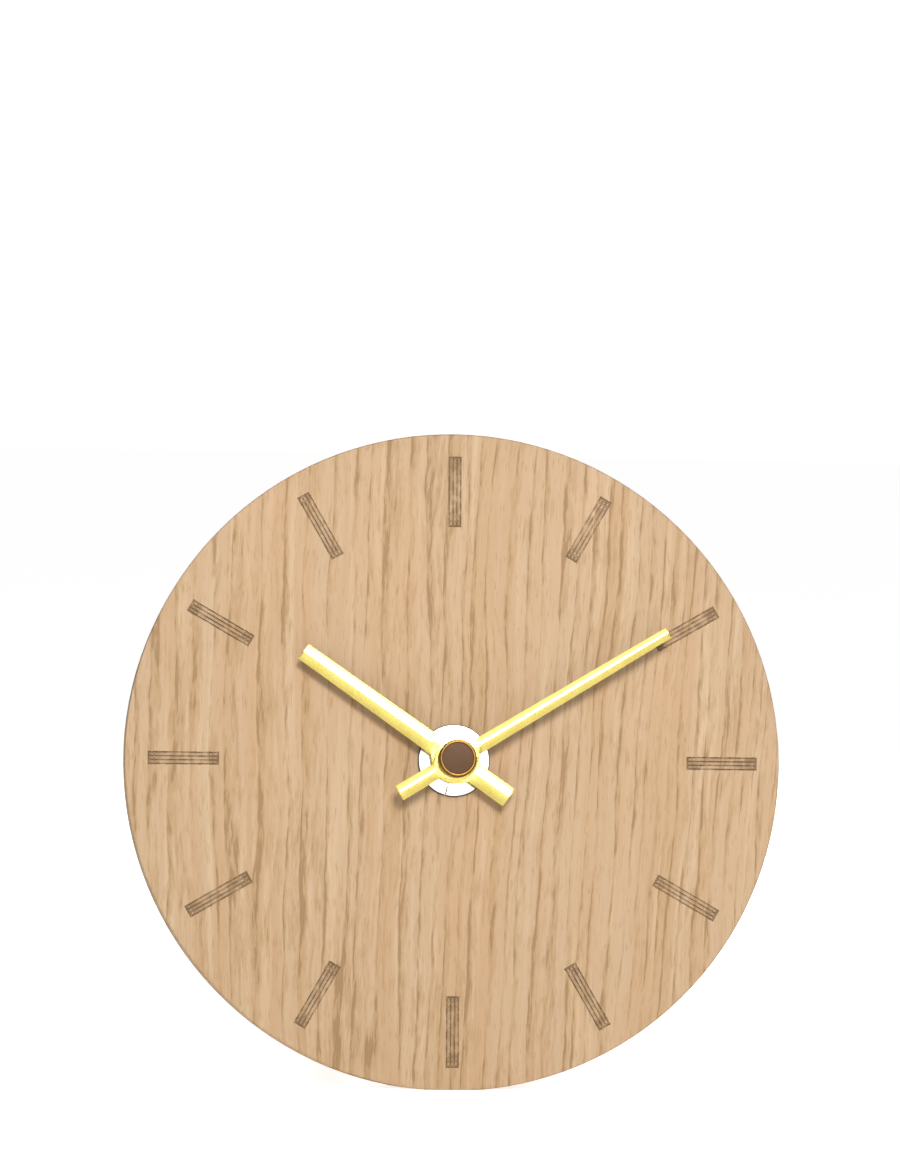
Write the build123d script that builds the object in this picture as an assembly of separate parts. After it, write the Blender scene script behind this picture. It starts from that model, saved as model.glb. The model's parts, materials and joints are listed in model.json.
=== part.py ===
from build123d import *
from math import cos, pi, radians, sin
import os

# A small round oak desk clock: an oak disc on two rear legs, with a battery quartz movement.
#
# Every piece is drawn in the clockmaker's frame: the centre arbor is the Z axis, +Z points out of
# the face towards the reader, +Y points to 12 o'clock, and z = 0 is the back of the dial.
# standing() then leans the finished clock back and stands it on z = 0, facing -Y.
# Sizes are in millimetres and angles in degrees.

# ---------------------------------------------------------------- driving dimensions
DIAL_DIAMETER = 160.0
DIAL_THICKNESS = 9.0
LEAN = 8.0                      # how far the dial leans back from upright
HOURS = 10                      # the time shown at rest
MINUTES = 9.8

MOVEMENT_SIZE = 56.0            # square case of a standard quartz movement
MOVEMENT_DEPTH = 15.6
BATTERY_DIAMETER = 14.3         # one AA cell
BATTERY_LENGTH = 49.2
BATTERY_NUB = 1.1
WALL = 1.2

RUNNING_GAP = 0.08              # radial gap between a turning shaft and its hole

DIAL_RADIUS = DIAL_DIAMETER / 2

# ---------------------------------------------------------------- hour marks
MARK_INNER_RADIUS = 57.2
MARK_OUTER_RADIUS = 74.4
MARK_WIDTH = 3.1
MARK_LINES = 4
LINE_WIDTH = 0.3
LINE_DEPTH = 0.25

# ---------------------------------------------------------------- centre hardware
BUSHING_RADIUS = 4.0
GASKET_THICKNESS = 0.8
WASHER_RADIUS = 8.8
WASHER_THICKNESS = 0.8
NUT_ACROSS_FLATS = 9.6
NUT_HEIGHT = 2.2
HOUR_TUBE_RADIUS = 2.5
MINUTE_ARBOR_RADIUS = 1.65
ARBOR_FLAT = 1.3                # the two flats that turn the minute hand, from the axis
PIVOT_ARBOR_RADIUS = 0.5
PIVOT_RADIUS = 0.3

HOUR_HAND_HEIGHT = 4.2          # underside of each hand above the dial's face
MINUTE_HAND_HEIGHT = 6.2
HAND_SHEET = 0.4
HAND_RIDGE = 0.95
CAP_RADIUS = 4.6
CAP_HEIGHT = 4.0
CAP_THREAD_RADIUS = 1.4

# ---------------------------------------------------------------- layers inside the movement
CASE_FRONT = -GASKET_THICKNESS
CASE_FLOOR = CASE_FRONT - WALL
CASE_BACK = CASE_FRONT - MOVEMENT_DEPTH
COVER_INSIDE = CASE_BACK + WALL
HOUR_WHEEL_Z = (-3.3, -2.3)
MINUTE_WHEEL_Z = (-4.5, -3.7)
CANNON_PINION_Z = (-4.6, -3.6)
CENTRE_WHEEL_Z = (-5.8, -5.0)
CLUTCH_Z = (-6.45, -5.85)
THIRD_PINION_Z = (-7.1, -4.9)
THIRD_WHEEL_Z = (-7.7, -7.1)
SECONDS_PINION_Z = (-7.8, -7.0)
GEAR_PLATE_Z = (-8.8, -8.0)
SECONDS_WHEEL_Z = (-10.0, -9.4)
FIFTH_PINION_Z = (-10.6, -9.2)
FIFTH_WHEEL_Z = (-11.2, -10.6)
ROTOR_PINION_Z = (-11.5, -10.4)
ROTOR_MAGNET_Z = (-13.8, -11.7)
STATOR_Z = (-13.2, -12.2)
COIL_CORE_Z = (-12.2, -11.2)
BOSS_TOP = -14.2

# ---------------------------------------------------------------- gear train
# Each meshing pair shares a module.
CANNON_TEETH = 12
MINUTE_WHEEL_TEETH = 36
MINUTE_PINION_TEETH = 10
HOUR_WHEEL_TEETH = 40
KNOB_PINION_TEETH = 12
CENTRE_WHEEL_TEETH = 60
THIRD_PINION_TEETH = 8
THIRD_WHEEL_TEETH = 64
SECONDS_PINION_TEETH = 8
SECONDS_WHEEL_TEETH = 60
FIFTH_PINION_TEETH = 10
FIFTH_WHEEL_TEETH = 40
ROTOR_PINION_TEETH = 8

MOTION_MODULE = 0.3
GOING_MODULE = 0.26

MINUTE_WHEEL_DISTANCE = MOTION_MODULE * (CANNON_TEETH + MINUTE_WHEEL_TEETH) / 2
HOUR_MODULE = 2 * MINUTE_WHEEL_DISTANCE / (MINUTE_PINION_TEETH + HOUR_WHEEL_TEETH)
KNOB_DISTANCE = MOTION_MODULE * (MINUTE_WHEEL_TEETH + KNOB_PINION_TEETH) / 2
THIRD_DISTANCE = MOTION_MODULE * (CENTRE_WHEEL_TEETH + THIRD_PINION_TEETH) / 2
SECONDS_MODULE = 2 * THIRD_DISTANCE / (THIRD_WHEEL_TEETH + SECONDS_PINION_TEETH)
FIFTH_DISTANCE = GOING_MODULE * (SECONDS_WHEEL_TEETH + FIFTH_PINION_TEETH) / 2
ROTOR_DISTANCE = GOING_MODULE * (FIFTH_WHEEL_TEETH + ROTOR_PINION_TEETH) / 2

# Direction from each gear to the next one, counter-clockwise from 3 o'clock.
MINUTE_WHEEL_BEARING = 100.0
KNOB_BEARING = 100.0
THIRD_BEARING = 15.0
FIFTH_BEARING = 200.0
ROTOR_BEARING = 152.0


def step(start, distance, bearing):
    """The point at a distance and bearing from another point."""
    turn = radians(bearing)
    return (start[0] + distance * cos(turn), start[1] + distance * sin(turn))


CENTRE = (0.0, 0.0)
MINUTE_WHEEL_AT = step(CENTRE, MINUTE_WHEEL_DISTANCE, MINUTE_WHEEL_BEARING)
KNOB_AT = step(MINUTE_WHEEL_AT, KNOB_DISTANCE, KNOB_BEARING)
THIRD_AT = step(CENTRE, THIRD_DISTANCE, THIRD_BEARING)
FIFTH_AT = step(CENTRE, FIFTH_DISTANCE, FIFTH_BEARING)
ROTOR_AT = step(FIFTH_AT, ROTOR_DISTANCE, ROTOR_BEARING)

# ---------------------------------------------------------------- battery bay, stand and hanger
CASE_INSIDE = MOVEMENT_SIZE / 2 - WALL
DIVIDER_TOP = -10.6
DIVIDER_BOTTOM = DIVIDER_TOP - WALL
BATTERY_Y = -CASE_INSIDE + BATTERY_DIAMETER / 2 + 0.2
BATTERY_Z = CASE_FLOOR - BATTERY_DIAMETER / 2 - 0.1
CONTACT_THICKNESS = 0.4

LEG_SPREAD = 22.0               # each leg's distance from the centre line
LEG_Y = -66.0
LEG_RADIUS = 5.0
LEG_END_RADIUS = 4.0
LEG_TIP_RADIUS = 4.8
LEG_TIP_ROUND = 1.5
LEG_TIP_LENGTH = 6.0
INSERT_RADIUS = 3.0
INSERT_DEPTH = 6.5
STUD_RADIUS = 2.0
STUD_LENGTH = 20.0

HANGER_Y = 52.0
HANGER_WIDTH = 42.0
HANGER_HEIGHT = 8.0
HANGER_SCREW_X = HANGER_WIDTH / 2 - 3.5
HANGER_THICKNESS = 0.8
HANGER_STANDOFF = 1.6
HANGER_TEETH = 7

# The oak disc stands on a small flat cut level under the leaning rim.
FLAT_WIDTH_AT_FACE = 10.0
FLAT_RISE = DIAL_RADIUS - (DIAL_RADIUS**2 - (FLAT_WIDTH_AT_FACE / 2) ** 2) ** 0.5
GROUND = (FLAT_RISE * cos(radians(LEAN))) + DIAL_THICKNESS * sin(radians(LEAN))


# ---------------------------------------------------------------- small helpers
def rod(radius, low, high, at=CENTRE, bore=0.0):
    """A round bar or tube along the arbor direction, between two heights."""
    stand = (Align.CENTER, Align.CENTER, Align.MIN)
    bar = Pos(at[0], at[1], low) * Cylinder(radius, high - low, align=stand)
    if bore:
        bar -= Pos(at[0], at[1], low) * Cylinder(bore, high - low, align=stand)
    return bar


def block(x_range, y_range, z_range):
    """A box between two corners."""
    size = [high - low for low, high in (x_range, y_range, z_range)]
    middle = [(high + low) / 2 for low, high in (x_range, y_range, z_range)]
    return Pos(*middle) * Box(*size)


def plate(outline, low, high):
    """A flat outline, drawn on the dial plane, given a thickness."""
    return extrude(Pos(0, 0, low) * outline, high - low)


def joined(pieces):
    """Separate solids kept together as one group."""
    return Compound(children=list(pieces))


def screw(at, head_z, length, head_radius, shank_radius, head_height, towards=-1):
    """A slotted pan-head screw; towards gives the direction of its point along Z."""
    head_low, head_high = sorted((head_z, head_z - towards * head_height))
    shank_low, shank_high = sorted((head_z, head_z + towards * length))
    body = rod(head_radius, head_low, head_high, at) + rod(shank_radius, shank_low, shank_high, at)
    outer = head_z - towards * head_height
    slot = Pos(at[0], at[1], outer) * Box(head_radius * 2.2, head_radius * 0.3, head_height * 0.8)
    return body - slot


# ---------------------------------------------------------------- gears
def gear(teeth, module, low, high, at, phase, pinion=False):
    """A spur gear whose first tooth points in the direction phase."""
    pitch_radius = teeth * module / 2
    tip_radius = pitch_radius + module * (0.8 if pinion else 0.9)
    root_radius = pitch_radius - module * 1.2
    pitch_angle = 360 / teeth
    # Half of the tooth's width at root, pitch circle and tip, as a share of the tooth pitch.
    profile = ((root_radius, 0.24), (pitch_radius, 0.19), (tip_radius, 0.07))
    points = []
    for tooth in range(teeth):
        middle = phase + tooth * pitch_angle
        flanks = [(radius, -half) for radius, half in profile]
        flanks += [(radius, half) for radius, half in reversed(profile)]
        points += [step(at, radius, middle + share * pitch_angle) for radius, share in flanks]
    return plate(make_face(Polyline(*points, close=True)), low, high)


def mesh_phase(teeth, phase, bearing, next_teeth):
    """The phase that puts the next gear's gap on this gear's tooth at their pitch point."""
    pitch_angle = 360 / teeth
    share = ((bearing - phase) % pitch_angle) / pitch_angle
    return bearing + 180 + (share + 0.5) * 360 / next_teeth


def spokes(outer, inner, low, high, at, count=4, hub=2.0):
    """The openings between the spokes of a wheel."""
    ring = rod(outer, low - 1, high + 1, at, bore=hub)
    for index in range(count):
        turn = Location((at[0], at[1], (low + high) / 2), (0, 0, index * 360 / count))
        ring -= turn * Box(outer * 2.5, inner, high - low + 4)
    return ring


MINUTE_WHEEL_PHASE = mesh_phase(CANNON_TEETH, 0.0, MINUTE_WHEEL_BEARING, MINUTE_WHEEL_TEETH)
KNOB_PHASE = mesh_phase(MINUTE_WHEEL_TEETH, MINUTE_WHEEL_PHASE, KNOB_BEARING, KNOB_PINION_TEETH)
HOUR_WHEEL_PHASE = mesh_phase(MINUTE_PINION_TEETH, 0.0, MINUTE_WHEEL_BEARING + 180, HOUR_WHEEL_TEETH)
THIRD_PINION_PHASE = mesh_phase(CENTRE_WHEEL_TEETH, 0.0, THIRD_BEARING, THIRD_PINION_TEETH)
SECONDS_PINION_PHASE = mesh_phase(THIRD_WHEEL_TEETH, 0.0, THIRD_BEARING + 180, SECONDS_PINION_TEETH)
FIFTH_PINION_PHASE = mesh_phase(SECONDS_WHEEL_TEETH, 0.0, FIFTH_BEARING, FIFTH_PINION_TEETH)
ROTOR_PINION_PHASE = mesh_phase(FIFTH_WHEEL_TEETH, 0.0, ROTOR_BEARING, ROTOR_PINION_TEETH)


# ---------------------------------------------------------------- dial and its fastening
def hour_mark_lines():
    """The fine lines of one engraved hour mark, at 12 o'clock."""
    length = MARK_OUTER_RADIUS - MARK_INNER_RADIUS
    middle = (MARK_OUTER_RADIUS + MARK_INNER_RADIUS) / 2
    reach = (MARK_WIDTH - LINE_WIDTH) / 2
    lines = Sketch()
    for index in range(MARK_LINES):
        x = -reach + 2 * reach * index / (MARK_LINES - 1)
        lines += Pos(x, middle) * Rectangle(LINE_WIDTH, length)
    for end in (-1, 1):
        lines += Pos(0, middle + end * (length - LINE_WIDTH) / 2) * Rectangle(MARK_WIDTH, LINE_WIDTH)
    return lines


def dial():
    disc = rod(DIAL_RADIUS, 0, DIAL_THICKNESS)
    disc = fillet(disc.edges(), 0.4)
    disc -= rod(BUSHING_RADIUS + 0.2, -1, DIAL_THICKNESS + 1)
    level = Location((0, -DIAL_RADIUS, 0), (LEAN, 0, 0)) * Pos(0, GROUND, 0)
    disc -= level * Box(80, 20, 60, align=(Align.CENTER, Align.MAX, Align.CENTER))
    for side in (-1, 1):
        disc -= rod(INSERT_RADIUS, -1, INSERT_DEPTH, (side * LEG_SPREAD, LEG_Y))
        disc -= rod(0.8, -1, 4.2, (side * HANGER_SCREW_X, HANGER_Y))
    mark = plate(hour_mark_lines(), DIAL_THICKNESS - LINE_DEPTH, DIAL_THICKNESS + 1)
    for hour in range(12):
        disc -= Rot(0, 0, 30 * hour) * mark
    return disc


def dial_gasket():
    return rod(12.0, CASE_FRONT, 0, bore=BUSHING_RADIUS + 0.1)


def dial_washer():
    ring = rod(WASHER_RADIUS, DIAL_THICKNESS, DIAL_THICKNESS + WASHER_THICKNESS)
    ring = chamfer(ring.edges().sort_by(Axis.Z)[-1:], 0.2)
    return ring - rod(BUSHING_RADIUS + 0.05, 0, 20)


def dial_nut():
    low = DIAL_THICKNESS + WASHER_THICKNESS
    corner_radius = NUT_ACROSS_FLATS / 2 / cos(pi / 6)
    body = plate(RegularPolygon(corner_radius, 6), low, low + NUT_HEIGHT)
    crown = rod(corner_radius, low, low + NUT_HEIGHT)
    crown = chamfer(crown.edges().sort_by(Axis.Z)[-1:], 0.45)
    return (body & crown) - rod(BUSHING_RADIUS, 0, 20)


# ---------------------------------------------------------------- hands
def ridged_blade(tip, tail, tip_width, hub_width, tail_width, low):
    """A hand's blade, pointing to 12, folded from sheet to a low lengthwise ridge."""
    def section(y, width):
        half = width / 2
        # Closed profile: two outer slopes to the ridge and two inner slopes back.
        outline = ((-half, 0), (half, 0), (half, HAND_SHEET * 0.55), (0.22, HAND_RIDGE),
                   (-0.22, HAND_RIDGE), (-half, HAND_SHEET * 0.55))
        corners = [(x, y, low + z) for x, z in outline]
        return make_face(Polyline(*corners, close=True))

    front = loft([section(0, hub_width), section(tip, tip_width)], ruled=True)
    back = loft([section(-tail, tail_width), section(0, hub_width)], ruled=True)
    return front + back


def hour_hand():
    low = DIAL_THICKNESS + HOUR_HAND_HEIGHT
    blade = ridged_blade(45.3, 15.9, 4.3, 5.0, 5.1, low)
    blade += rod(5.7, low, low + 0.6)
    blade += rod(3.4, low - 0.5, low + HAND_RIDGE)
    blade -= rod(HOUR_TUBE_RADIUS, low - 2, low + 3)
    return Rot(0, 0, -hour_angle()) * blade


def minute_hand():
    low = DIAL_THICKNESS + MINUTE_HAND_HEIGHT
    hub_top = low + 0.7
    blade = ridged_blade(60.5, 16.2, 2.8, 3.85, 3.95, low)
    blade -= rod(CAP_RADIUS + 0.15, hub_top, hub_top + 3)
    blade += rod(5.2, low, hub_top)
    hole = rod(MINUTE_ARBOR_RADIUS, low - 1, low + 3)
    hole &= block((-ARBOR_FLAT, ARBOR_FLAT), (-3, 3), (low - 1, low + 3))
    return Rot(0, 0, -minute_angle()) * (blade - hole)


def minute_angle():
    """Clockwise turn of the minute hand from 12 o'clock."""
    return MINUTES * 6


def hour_angle():
    return (HOURS + MINUTES / 60) * 30


MINUTE_HUB_TOP = DIAL_THICKNESS + MINUTE_HAND_HEIGHT + 0.7
CAP_TOP = MINUTE_HUB_TOP + CAP_HEIGHT
INLAY_RADIUS = CAP_RADIUS - 0.75
INLAY_THICKNESS = 0.35


def cap_nut():
    body = rod(CAP_RADIUS, MINUTE_HUB_TOP, CAP_TOP)
    body = fillet(body.edges().sort_by(Axis.Z)[-1:], 0.25)
    body -= rod(INLAY_RADIUS, CAP_TOP - INLAY_THICKNESS - 0.15, CAP_TOP + 1)
    return body - rod(CAP_THREAD_RADIUS, MINUTE_HUB_TOP - 1, CAP_TOP - 0.9)


def cap_inlay():
    low = CAP_TOP - INLAY_THICKNESS - 0.15
    return rod(INLAY_RADIUS, low, low + INLAY_THICKNESS)


# ---------------------------------------------------------------- motion work under the dial
def cannon_pinion():
    """The minute arbor: shaft, flats for the minute hand, threaded end and pinion."""
    hand_z = DIAL_THICKNESS + MINUTE_HAND_HEIGHT
    shaft = rod(MINUTE_ARBOR_RADIUS, CANNON_PINION_Z[1], hand_z)
    seat = rod(MINUTE_ARBOR_RADIUS, hand_z, MINUTE_HUB_TOP)
    seat &= block((-ARBOR_FLAT, ARBOR_FLAT), (-3, 3), (hand_z, MINUTE_HUB_TOP))
    shaft += Rot(0, 0, -minute_angle()) * seat
    shaft += rod(CAP_THREAD_RADIUS - 0.1, MINUTE_HUB_TOP, CAP_TOP - 1.1)
    shaft += gear(CANNON_TEETH, MOTION_MODULE, *CANNON_PINION_Z, CENTRE, 0.0, pinion=True)
    shaft += rod(1.2, CLUTCH_Z[0] - 0.45, CANNON_PINION_Z[0])
    shaft += rod(2.1, CLUTCH_Z[0] - 0.45, CLUTCH_Z[0] - 0.02)
    return shaft - rod(PIVOT_ARBOR_RADIUS + RUNNING_GAP, -20, 30)


def clutch_spring():
    """A three-armed dished washer that presses the centre wheel against the cannon pinion."""
    ring = rod(2.4, CLUTCH_Z[0], CLUTCH_Z[0] + 0.25)
    for index in range(3):
        arm = block((1.8, 5.4), (-0.7, 0.7), (CLUTCH_Z[0], CLUTCH_Z[0] + 0.25))
        arm += block((4.6, 5.4), (-0.7, 0.7), CLUTCH_Z)
        ring += Rot(0, 0, 120 * index) * arm
    return ring - rod(1.2, -20, 0)


def hour_wheel():
    tube_top = DIAL_THICKNESS + HOUR_HAND_HEIGHT + HAND_RIDGE
    wheel = gear(HOUR_WHEEL_TEETH, HOUR_MODULE, *HOUR_WHEEL_Z, CENTRE, HOUR_WHEEL_PHASE)
    wheel += rod(HOUR_TUBE_RADIUS, HOUR_WHEEL_Z[1], tube_top)
    return wheel - rod(MINUTE_ARBOR_RADIUS + RUNNING_GAP, -10, 30)


def minute_wheel():
    wheel = gear(MINUTE_WHEEL_TEETH, MOTION_MODULE, *MINUTE_WHEEL_Z, MINUTE_WHEEL_AT,
                 MINUTE_WHEEL_PHASE)
    wheel += gear(MINUTE_PINION_TEETH, HOUR_MODULE, MINUTE_WHEEL_Z[1], HOUR_WHEEL_Z[1],
                  MINUTE_WHEEL_AT, 0.0, pinion=True)
    return wheel - rod(0.6 + RUNNING_GAP, -10, 0, MINUTE_WHEEL_AT)


def knob_pinion():
    """The hand-setting arbor, from the minute wheel out through the back."""
    arbor = rod(0.6, MINUTE_WHEEL_Z[0], CASE_FLOOR + 0.4, KNOB_AT)
    arbor += gear(KNOB_PINION_TEETH, MOTION_MODULE, *MINUTE_WHEEL_Z, KNOB_AT, KNOB_PHASE,
                  pinion=True)
    arbor += rod(1.1, CASE_BACK - 3.2, MINUTE_WHEEL_Z[0], KNOB_AT)
    return arbor


def setting_knob():
    high = CASE_BACK - 0.5
    low = high - 3.4
    knob = rod(7.0, low, high, KNOB_AT)
    knob = fillet(knob.edges().sort_by(Axis.Z)[:1], 0.6)
    for index in range(24):
        flute = step(KNOB_AT, 7.25, index * 15)
        knob -= rod(0.6, low - 1, high + 1, flute)
    knob += rod(2.2, high, high + 0.3, KNOB_AT)
    return knob - rod(1.1, CASE_BACK - 3.2, 0, KNOB_AT)


# ---------------------------------------------------------------- going train
def centre_wheel():
    wheel = gear(CENTRE_WHEEL_TEETH, MOTION_MODULE, *CENTRE_WHEEL_Z, CENTRE, 0.0)
    wheel -= spokes(7.6, 1.4, *CENTRE_WHEEL_Z, CENTRE, hub=5.8)
    return wheel - rod(1.2 + RUNNING_GAP, -10, 0)


def third_wheel():
    wheel = gear(THIRD_WHEEL_TEETH, SECONDS_MODULE, *THIRD_WHEEL_Z, THIRD_AT, 0.0)
    wheel -= spokes(7.4, 1.4, *THIRD_WHEEL_Z, THIRD_AT)
    wheel += gear(THIRD_PINION_TEETH, MOTION_MODULE, *THIRD_PINION_Z, THIRD_AT,
                  THIRD_PINION_PHASE, pinion=True)
    wheel += rod(PIVOT_ARBOR_RADIUS, THIRD_PINION_Z[1], CASE_FLOOR - 0.2, THIRD_AT)
    return wheel + rod(PIVOT_RADIUS, GEAR_PLATE_Z[0] + 0.1, CASE_FLOOR + 0.6, THIRD_AT)


def seconds_wheel():
    wheel = gear(SECONDS_WHEEL_TEETH, GOING_MODULE, *SECONDS_WHEEL_Z, CENTRE, 0.0)
    wheel -= spokes(6.4, 1.3, *SECONDS_WHEEL_Z, CENTRE)
    wheel += gear(SECONDS_PINION_TEETH, SECONDS_MODULE, *SECONDS_PINION_Z, CENTRE,
                  SECONDS_PINION_PHASE, pinion=True)
    wheel += rod(PIVOT_ARBOR_RADIUS, BOSS_TOP + 0.15, DIAL_THICKNESS + 7.5)
    return wheel + rod(PIVOT_RADIUS, COVER_INSIDE + 0.3, BOSS_TOP + 0.15)


def fifth_wheel():
    wheel = gear(FIFTH_WHEEL_TEETH, GOING_MODULE, *FIFTH_WHEEL_Z, FIFTH_AT, 0.0)
    wheel -= spokes(4.1, 1.0, *FIFTH_WHEEL_Z, FIFTH_AT, count=3, hub=1.7)
    wheel += gear(FIFTH_PINION_TEETH, GOING_MODULE, *FIFTH_PINION_Z, FIFTH_AT,
                  FIFTH_PINION_PHASE, pinion=True)
    wheel += rod(PIVOT_ARBOR_RADIUS, BOSS_TOP + 0.15, FIFTH_PINION_Z[1], FIFTH_AT)
    return wheel + rod(PIVOT_RADIUS, COVER_INSIDE + 0.3, GEAR_PLATE_Z[1] - 0.1, FIFTH_AT)


def rotor_pinion():
    pinion = gear(ROTOR_PINION_TEETH, GOING_MODULE, *ROTOR_PINION_Z, ROTOR_AT,
                  ROTOR_PINION_PHASE, pinion=True)
    pinion += rod(PIVOT_ARBOR_RADIUS, BOSS_TOP + 0.15, ROTOR_PINION_Z[1], ROTOR_AT)
    return pinion + rod(PIVOT_RADIUS, COVER_INSIDE + 0.3, GEAR_PLATE_Z[1] - 0.1, ROTOR_AT)


def rotor_magnet():
    return rod(2.8, *ROTOR_MAGNET_Z, ROTOR_AT, bore=PIVOT_ARBOR_RADIUS)


# ---------------------------------------------------------------- stepping motor and electronics
STATOR_RIGHT = ROTOR_AT[0] + 4.6
STATOR_LEFT = -25.4
STATOR_LOW = -8.6
STATOR_HIGH = 18.4
CORE_X = (-24.4, -21.4)
COIL_X = sum(CORE_X) / 2
COIL_Z = sum(COIL_CORE_Z) / 2
COIL_Y = (STATOR_LOW + 4.0, STATOR_HIGH - 4.0)
MOTOR_SCREWS = ((COIL_X, STATOR_LOW + 1.6), (COIL_X, STATOR_HIGH - 1.6))


def stator():
    """The soft-iron yoke round the rotor, with two tabs that carry the coil core."""
    yoke = block((ROTOR_AT[0] - 4.6, STATOR_RIGHT), (STATOR_LOW, STATOR_HIGH), STATOR_Z)
    for low in (STATOR_LOW, STATOR_HIGH - 3.2):
        yoke += block((STATOR_LEFT, STATOR_RIGHT), (low, low + 3.2), STATOR_Z)
    yoke -= rod(3.2, -20, 0, ROTOR_AT)
    for side in (-1, 1):
        yoke -= rod(0.4, -20, 0, (ROTOR_AT[0] + side * 3.2, ROTOR_AT[1] + side * 0.6))
    for at in MOTOR_SCREWS:
        yoke -= rod(0.8, -20, 0, at)
    return yoke


def coil_core():
    core = block(CORE_X, (STATOR_LOW, STATOR_HIGH), COIL_CORE_Z)
    for at in MOTOR_SCREWS:
        core -= rod(0.8, -20, 0, at)
    return core


def along_y(radius, y_range, x, z):
    """A round bar across the dial plane, along the 6 to 12 o'clock line."""
    length = y_range[1] - y_range[0]
    return Location((x, y_range[0], z), (-90, 0, 0)) * Cylinder(
        radius, length, align=(Align.CENTER, Align.CENTER, Align.MIN))


def coil_bobbin():
    tube = along_y(1.95, COIL_Y, COIL_X, COIL_Z)
    for end in (COIL_Y[0], COIL_Y[1] - 0.7):
        tube += along_y(2.4, (end, end + 0.7), COIL_X, COIL_Z)
    return tube - block(CORE_X, (STATOR_LOW - 1, STATOR_HIGH + 1), COIL_CORE_Z)


def coil_winding():
    inner_y = (COIL_Y[0] + 0.7, COIL_Y[1] - 0.7)
    return along_y(2.3, inner_y, COIL_X, COIL_Z) - along_y(1.95, inner_y, COIL_X, COIL_Z)


def motor_screws():
    return joined(screw(at, STATOR_Z[0], 1.9, 1.4, 0.75, 0.7, towards=1) for at in MOTOR_SCREWS)


BOARD_X = (10.5, 26.2)
BOARD_Y = (-9.6, 20.0)
BOARD_Z = (-11.6, -10.8)
BOARD_SCREWS = ((13.0, 17.5), (24.2, -3.4))


def circuit_board():
    board = block(BOARD_X, BOARD_Y, BOARD_Z)
    for at in BOARD_SCREWS:
        board -= rod(0.8, -20, 0, at)
    return board


def chip_cover():
    """The cured resin drop over the clock chip."""
    high = BOARD_Z[0]
    dome_radius = 4.0
    at = (18.0, 2.0)
    drop = Pos(at[0], at[1], high + dome_radius - 1.2) * Sphere(dome_radius)
    return drop & rod(dome_radius, high - 2, high, at)


def quartz_crystal():
    """The crystal's round can, lying on the board."""
    low = BOARD_Z[0] - 2.2
    can = along_y(1.05, (7.4, 13.4), 22.5, low + 1.1)
    return fillet(can.edges(), 0.25)


def board_screws():
    return joined(screw(at, BOARD_Z[0], 2.4, 1.5, 0.75, 0.7, towards=1) for at in BOARD_SCREWS)


# ---------------------------------------------------------------- battery and contacts
def along_x(radius, x_range, y, z):
    """A round bar across the dial plane, along the 9 to 3 o'clock line."""
    length = x_range[1] - x_range[0]
    return Location((x_range[0], y, z), (0, 90, 0)) * Cylinder(
        radius, length, align=(Align.CENTER, Align.CENTER, Align.MIN))


def battery():
    half = BATTERY_LENGTH / 2
    cell = along_x(BATTERY_DIAMETER / 2, (-half, half), BATTERY_Y, BATTERY_Z)
    cell = fillet(cell.edges(), 0.5)
    return cell + along_x(2.7, (half, half + BATTERY_NUB), BATTERY_Y, BATTERY_Z)


def contact(side):
    """A bent spring strip at one end of the battery, with a tail up to the circuit board."""
    outer = side * (CASE_INSIDE - 0.05)
    inner = outer - side * CONTACT_THICKNESS
    flat_x = tuple(sorted((inner, outer)))
    reach = BATTERY_LENGTH / 2 + (BATTERY_NUB if side > 0 else 0.0)
    strip = block(flat_x, (BATTERY_Y - 4, BATTERY_Y + 4), (BATTERY_Z - 4, BATTERY_Z + 4))
    pad_x = tuple(sorted((side * reach, side * (reach + CONTACT_THICKNESS))))
    strip += block(pad_x, (BATTERY_Y - 2.4, BATTERY_Y + 2.4), (BATTERY_Z - 2, BATTERY_Z + 2))
    bridge_x = tuple(sorted((side * reach, outer)))
    bridge_z = (BATTERY_Z + 2 - CONTACT_THICKNESS, BATTERY_Z + 2)
    strip += block(bridge_x, (BATTERY_Y - 2.4, BATTERY_Y + 2.4), bridge_z)
    tail_z = (BOARD_Z[0] - 1.6, BOARD_Z[0])
    tail_y = (DIVIDER_TOP + 0.1, DIVIDER_TOP + 0.1 + CONTACT_THICKNESS)
    strip += block(flat_x, (BATTERY_Y, tail_y[1]), tail_z)
    solder_x = 13.0 if side < 0 else 22.0
    strip += block(tuple(sorted((outer, solder_x))), tail_y, tail_z)
    # Folded end, soldered to the board's rear face.
    pad_z = (BOARD_Z[0] - CONTACT_THICKNESS, BOARD_Z[0])
    return strip + block((solder_x - 1, solder_x + 1), (tail_y[0], BOARD_Y[0] + 1.6), pad_z)


# ---------------------------------------------------------------- case of the movement
COVER_SCREWS = ((-23.6, 23.6), (23.6, 23.6), (8.0, -8.0))
PLATE_SCREWS = ((-21.0, 21.0), (21.0, -7.6), (19.0, 21.0))


def tub_outline(inset):
    """The square outline of the movement's case, with rounded corners."""
    side = MOVEMENT_SIZE - 2 * inset
    return RectangleRounded(side, side, 4.0 - min(inset, 2.0))


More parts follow.
